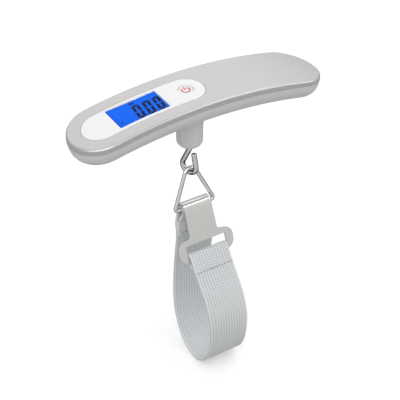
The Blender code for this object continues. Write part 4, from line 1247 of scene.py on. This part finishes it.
@dataclass
class WebbingLoop:
    """The length of webbing, sewn round the ring's bar and through the clasp's slot."""

    neck_x: float = -5.3 * MM
    bar: Vector = field(default_factory=lambda: Vector((-4.8 * MM, -73.2 * MM)))
    bar_radius: float = 1.15 * MM
    thickness: float = 1.4 * MM
    play: float = 0.25 * MM
    width: float = 24.6 * MM
    width_at_bar: float = 18.2 * MM
    taper: float = 12.0 * MM
    seat_y: float = -23.0 * MM
    seat_z: float = -168.4 * MM
    seat_length: float = 5.0 * MM
    hem_z: float = -90.0 * MM
    sewn_offset: float = 1.28 * MM
    clasp_tilt: float = math.radians(23)
    clasp_offset: float = 3.6 * MM
    slot_bottom: float = 25.8 * MM
    plate: float = 1.1 * MM
    fold_angle: float = math.radians(37)
    spacing: float = 0.9 * MM
    taper_start: float = 4.0 * MM
    hem_inset: float = 0.1 * MM
    hem_start: float = 3.0 * MM
    row_reach: float = 10.2 * MM
    row_inset: float = 1.7 * MM
    under_depth: float = 1.36 * MM
    ring_row_z: float = -87.1 * MM
    ring_row_half: float = 9.2 * MM

    def clasp_point(self, down: float, out: float) -> Vector:
        """(y, z) of a point on the clasp's plane."""
        lean, upright = math.sin(self.clasp_tilt), math.cos(self.clasp_tilt)
        return Vector((self.bar.x - down * lean - out * upright, self.bar.y - down * upright + out * lean))

    def fold(self) -> tuple[Vector, Vector, Vector, float]:
        """The fold's centre, its directions along and outwards, and its radius."""
        centre = self.clasp_point(self.slot_bottom + self.plate / 2, self.clasp_offset)
        along = Vector((-math.sin(self.fold_angle), -math.cos(self.fold_angle)))
        return centre, along, Vector((along.y, -along.x)), self.plate / 2 + self.play + self.thickness / 2

    def wrap(self, start: float, end: float, steps: int) -> list[Vector]:
        """Points round the ring's bar, from start to end degrees."""
        radius = self.bar_radius + self.play + self.thickness / 2
        arc = arc_points(tuple(self.bar), radius, math.radians(start), math.radians(end), steps)
        return [Vector(point) for point in arc]

    def back_route(self) -> list[Vector]:
        """From over the bar, down the back, to the middle of the loop's bottom."""
        hand = [(-3.4, -79.0), (-4.9, -84.5), (-5.2, -90.0), (-4.2, -98.5), (-2.6, -110.0), (-1.2, -124.0)]
        hand += [(-0.8, -138.0), (-2.4, -149.0), (-6.4, -158.5), (-12.0, -165.0)]
        points = [self.wrap(10, 0, 1)[1], *(Vector(p) * MM for p in hand)]
        points.append(Vector((self.seat_y + self.seat_length / 2, self.seat_z)))
        return [*self.wrap(180, 0, 14)[:-1], *smooth_route(points, 8), Vector((self.seat_y, self.seat_z))]

    def hem_route(self) -> list[Vector]:
        """The short inner layer below the bar, sewn to the back run."""
        points = [self.wrap(170, 180, 1)[1]]
        run = self.back_route()[14:]
        for point in run:
            if self.hem_z < point.y < -80 * MM:
                points.append(point - Vector((self.sewn_offset, 0)))
        return evened(smooth_route(points, 3), 0.5 * MM, 8)

    def front_route(self) -> list[Vector]:
        """From the middle of the bottom, up the front, over the clasp's bar."""
        hand = [(-31.0, -165.2), (-36.6, -159.5), (-40.2, -151.0), (-42.0, -140.5), (-41.8, -131.0)]
        hand += [(-39.2, -122.4), (-34.8, -114.6)]
        centre, along, out, radius = self.fold()
        start = centre + out * radius
        points = [Vector((self.seat_y - self.seat_length / 2, self.seat_z)), *(Vector(p) * MM for p in hand)]
        points += [start + along * reach * MM for reach in (15.5, 12.8, 9.0, 5.0)]
        points.append(start)
        turns = [math.pi * i / 14 for i in range(15)]
        turn = [centre + radius * (math.cos(a) * out - math.sin(a) * along) for a in turns]
        return [Vector((self.seat_y, self.seat_z)), *smooth_route(points, 8)[:-1], *turn]

    def under_route(self) -> list[Vector]:
        """The folded end behind the clasp's bar, back up against the front run."""
        centre, along, out, radius = self.fold()
        turn = centre - out * radius
        offsets = [(1.5, -2.1), (3.8, -2.7), (5.8, -1.7), (7.5, -0.1)]
        offsets += [(9.0, radius / MM - 1.32), (10.8, radius / MM - 1.36)]
        points = [turn, *(centre + along * a * MM + out * m * MM for a, m in offsets)]
        return evened(smooth_route(points, 6), 0.5 * MM, 4)

    def half_width(self, distance: float) -> float:
        """Half width at a distance from the top of the wrap."""
        share = min(max((distance - self.taper_start) / self.taper, 0.0), 1.0)
        share = share * share * (3 - 2 * share)
        return (self.width_at_bar + (self.width - self.width_at_bar) * share) / 2

    def section(self, half: float) -> list[Point]:
        """The webbing's section: flat faces and firm, slightly thicker rounded selvedges."""
        thin = self.thickness / 2 * 0.90
        edge = self.thickness / 2
        inner = half - 1.5 * MM
        count = 14
        upper = [(-inner + 2 * inner * i / count, thin) for i in range(count + 1)]
        rounding = ((1.0, 1.0), (0.42, 0.98), (0.08, 0.6))
        right = [(half - inset * MM, edge * share) for inset, share in rounding]
        right += [(half, 0.0), *[(x, -z) for x, z in reversed(right)]]
        lower = [(x, -thin) for x, _ in reversed(upper)]
        left = [(-x, -z) for x, z in right]
        return upper + right + lower + left

    def strip(
        self,
        name: str,
        route: Sequence[Vector],
        half: Callable[[float], float],
        material: bpy.types.Material,
        start: float = 0.0,
    ) -> bpy.types.Object:
        """Webbing along a route.

        Args:
            name: the piece's name.
            route: (y, z) points of its centreline.
            half: half width at a distance along it.
            material: its finish.
            start: distance along the webbing at the route's start, for the weave.

        Returns:
            The new object, with millimetres across and along in its UV map.
        """
        rings, marks = [], []
        distance = 0.0
        for i, here in enumerate(route):
            if i:
                distance += (here - route[i - 1]).length
            along = (route[min(i + 1, len(route) - 1)] - route[max(i - 1, 0)]).normalized()
            out = Vector((-along.y, along.x))
            ring, mark = [], []
            for x, lift in self.section(half(distance)):
                ring.append(Vector((self.neck_x + x, *(here + out * lift))))
                mark.append((x / MM, (start + distance) / MM))
            rings.append(ring)
            marks.append(mark)
        bm, made = ring_bands(rings)
        layer = bm.loops.layers.uv.new("UVMap")
        places = {vert: mark for ring, row in zip(made, marks) for vert, mark in zip(ring, row)}
        for face in bm.faces:
            for loop in face.loops:
                loop[layer].uv = places[loop.vert]
        return piece(name, bm, material, 60.0)

    def build(self, finishes: Finishes) -> None:
        """Makes the webbing, its sewn ends and their stitches."""
        back = evened(self.back_route(), self.spacing, 2)
        front = evened(self.front_route(), self.spacing, 2)
        hem_route, under_route = self.hem_route(), self.under_route()
        web, full = finishes.webbing, self.width / 2

        def hem_half(distance: float) -> float:
            """Half width of the ring hem, a little inside the run it is sewn to."""
            return self.half_width(distance + self.hem_start) - self.hem_inset

        back_run = self.strip("webbing_back", back, self.half_width, web)
        hem = self.strip("webbing_ring_hem", hem_route, hem_half, web)
        front_run = self.strip("webbing_front", front, lambda _: full, web, route_length(back))
        under = self.strip("webbing_clasp_hem", under_route, lambda _: full - self.hem_inset, web)
        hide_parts("webbing_loop")
        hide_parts("webbing_sewn_end")
        for obj, body in ((back_run, Body.STRAP), (hem, Body.STRAP), (under, Body.CLASP)):
            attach(obj, body.value)
        centre, along, out, radius = self.fold()
        edge = self.thickness / 2
        rows = (("front_stitches", -edge, 1), ("front_stitches_behind", self.under_depth + edge, -1))
        for name, depth, way in rows:
            spot = centre + out * (radius - depth) + along * self.row_reach
            self.stitches(name, spot, out * way, full - self.row_inset, 12, finishes, Body.CLASP)
        back_at = [point for point in back if abs(point.y - self.ring_row_z) < 0.5 * MM][0]
        for name, way, offset in (("ring_stitches", 1, 0.0), ("ring_stitches_inside", -1, self.sewn_offset)):
            spot = back_at + Vector((way * edge - offset, 0))
            self.stitches(name, spot, Vector((way, 0)), self.ring_row_half, 10, finishes, Body.STRAP)
        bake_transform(front_run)
        runs = ((back_run, back, "triangle_ring", hem), (front_run, front, "clasp", under))
        for run, route, rest, end in runs:
            flat = (self.width, route_length(route))
        for obj, route in ((back_run, back), (hem, hem_route), (front_run, front), (under, under_route)):
            LOG.info("%s: webbing, %.1f mm long", obj.name, route_length(route) / MM)

    def stitches(
        self, name: str, middle: Vector, out: Vector, half: float, count: int, finishes: Finishes, body: Body
    ) -> None:
        """Makes a stitch row across the webbing.

        Args:
            name: the row's name.
            middle: its middle, as (y, z).
            out: the way it faces, as (y, z).
            half: half its length.
            count: its number of stitches.
            finishes: the scale's finishes.
            body: the body it rides on.
        """
        start, end = (Vector((self.neck_x + side * half, *middle)) for side in (-1, 1))
        row = StitchRow(name, start, end, Vector((0, *out)), count).build(finishes.thread)
        put(row, body)


# ------------------------------------------------------------------ clasp


@dataclass
class Clasp:
    """The plate that hooks over the ring's bar and takes the webbing in its slot."""

    bevel: float = 0.22 * MM

    def build(self, nodes: dict[str, bpy.types.Object], finishes: Finishes) -> None:
        """Makes the finished plate, with rounded edges, from its CAD node.

        Args:
            nodes: the frame's CAD nodes.
            finishes: the scale's finishes.
        """
        obj = skinned(nodes["clasp"], "satin_clasp", finishes.satin, 32.0, self.bevel)
        put(obj, Body.CLASP, "clasp")


# ------------------------------------------------------------------ studio


@dataclass
class Studio:
    """Plain pale floor, soft lights and the camera."""

    right: Vector = field(default_factory=lambda: Vector((0.85346, -0.52116, 0.0)))
    up: Vector = field(default_factory=lambda: Vector((0.31437, 0.51481, 0.79758)))
    back: Vector = field(default_factory=lambda: Vector((-0.41567, -0.68071, 0.60321)))
    lens: float = 98.1
    distance: float = 0.5676
    offset: Point = (-0.001028, 0.059653)
    surroundings: float = 0.68
    floor_half: float = 6.0
    floor_gap: float = 0.3 * MM

    def camera(self) -> None:
        """Sets the camera."""
        data = bpy.data.cameras.new("camera")
        data.lens = self.lens
        data.sensor_width = 36.0
        data.clip_start = 0.01
        data.clip_end = 50.0
        obj = bpy.data.objects.new("camera", data)
        bpy.context.scene.collection.objects.link(obj)
        turn = Matrix((self.right, self.up, self.back)).transposed().to_4x4()
        place = self.back * self.distance - self.right * self.offset[0] - self.up * self.offset[1]
        obj.matrix_world = Matrix.Translation(place) @ turn
        bpy.context.scene.camera = obj

    def floor(self, finishes: Finishes) -> None:
        """Lays the floor just under the loop."""
        low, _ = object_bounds()
        bm = bmesh.new()
        for x, y in ((-1, -1), (1, -1), (1, 1), (-1, 1)):
            bm.verts.new((x * self.floor_half, y * self.floor_half, low[2] - self.floor_gap))
        bm.faces.new(list(bm.verts))
        obj = piece("floor", bm, finishes.floor, None)
        obj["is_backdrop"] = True

    def light(self, name: str, place: Vector, target: Vector, size: Point, power: float) -> None:
        """Adds one soft rectangular light.

        Args:
            name: the light's name.
            place: where it stands.
            target: what it points at.
            size: its width and height.
            power: its power in watts.
        """
        data = bpy.data.lights.new(name, "AREA")
        data.shape = "RECTANGLE"
        data.size, data.size_y = size
        data.energy = power
        obj = bpy.data.objects.new(name, data)
        bpy.context.scene.collection.objects.link(obj)
        obj.location = place
        obj.rotation_euler = (target - place).to_track_quat("-Z", "Y").to_euler()

    def world(self) -> None:
        """Pale surroundings, brightest just over the horizon, and plain white to the camera."""
        world = bpy.data.worlds.new("studio")
        world.use_nodes = True
        world.node_tree.nodes.clear()
        kinds = {
            "coordinate": "ShaderNodeTexCoord",
            "split": "ShaderNodeSeparateXYZ",
            "ramp": "ShaderNodeValToRGB",
            "shade": "ShaderNodeBackground",
            "output": "ShaderNodeOutputWorld",
            "half": "ShaderNodeMath",
            "plain": "ShaderNodeBackground",
            "path": "ShaderNodeLightPath",
            "choice": "ShaderNodeMixShader",
        }
        values = [("half", 1, 0.5), ("half", 2, 0.5), ("shade", "Strength", self.surroundings)]
        values.append(("plain", "Color", (1.0, 1.0, 1.0, 1.0)))
        links = (
            ("coordinate", "Generated", "split", 0),
            ("split", "Z", "half", 0),
            ("half", 0, "ramp", 0),
            ("ramp", 0, "shade", "Color"),
            ("path", "Is Camera Ray", "choice", 0),
            ("shade", 0, "choice", 1),
            ("plain", 0, "choice", 2),
            ("choice", 0, "output", "Surface"),
        )
        made = wired(world.node_tree, kinds, values, links)
        made["half"].operation = "MULTIPLY_ADD"
        stops = ((0.0, 0.70), (0.45, 0.70), (0.52, 0.86), (0.62, 0.92), (0.80, 0.80), (0.95, 0.72))
        elements = made["ramp"].color_ramp.elements
        while len(elements) < len(stops):
            elements.new(0.5)
        for element, (place, level) in zip(elements, stops):
            element.position = place
            element.color = (level, level, level, 1.0)
        bpy.context.scene.world = world

    def build(self, finishes: Finishes) -> None:
        """Sets the whole studio."""
        self.camera()
        self.floor(finishes)
        self.world()
        middle = Vector((0.0, 0.0, -0.06))
        for name, place, size, power in (
            ("key", (-0.7, -0.5, 0.9), (1.4, 1.4), 6.6),
            ("fill", (0.9, -0.5, 0.4), (0.7, 0.7), 1.6),
            ("top", (0.45, 0.80, 0.78), (1.6, 1.2), 2.4),
            ("edge_strip", (0.42, -0.20, 0.84), (1.3, 0.10), 1.3),
        ):
            self.light(name, Vector(place), middle, size, power)
        bpy.context.scene.view_settings.view_transform = "Standard"
        LOG.info("studio set")


def main() -> None:
    """Builds the finished luggage scale."""
    logging.basicConfig(level=logging.INFO, format="%(name)s: %(message)s")
    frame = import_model()
    nodes = frame["nodes"]
    finishes = Finishes()
    grip = Grip()
    grip.build(nodes, finishes)
    Display(grip).build(finishes)
    HookAndRing().build(finishes)
    WebbingLoop().build(finishes)
    Clasp().build(nodes, finishes)
    Studio().build(finishes)


if __name__ == "__main__":
    main()
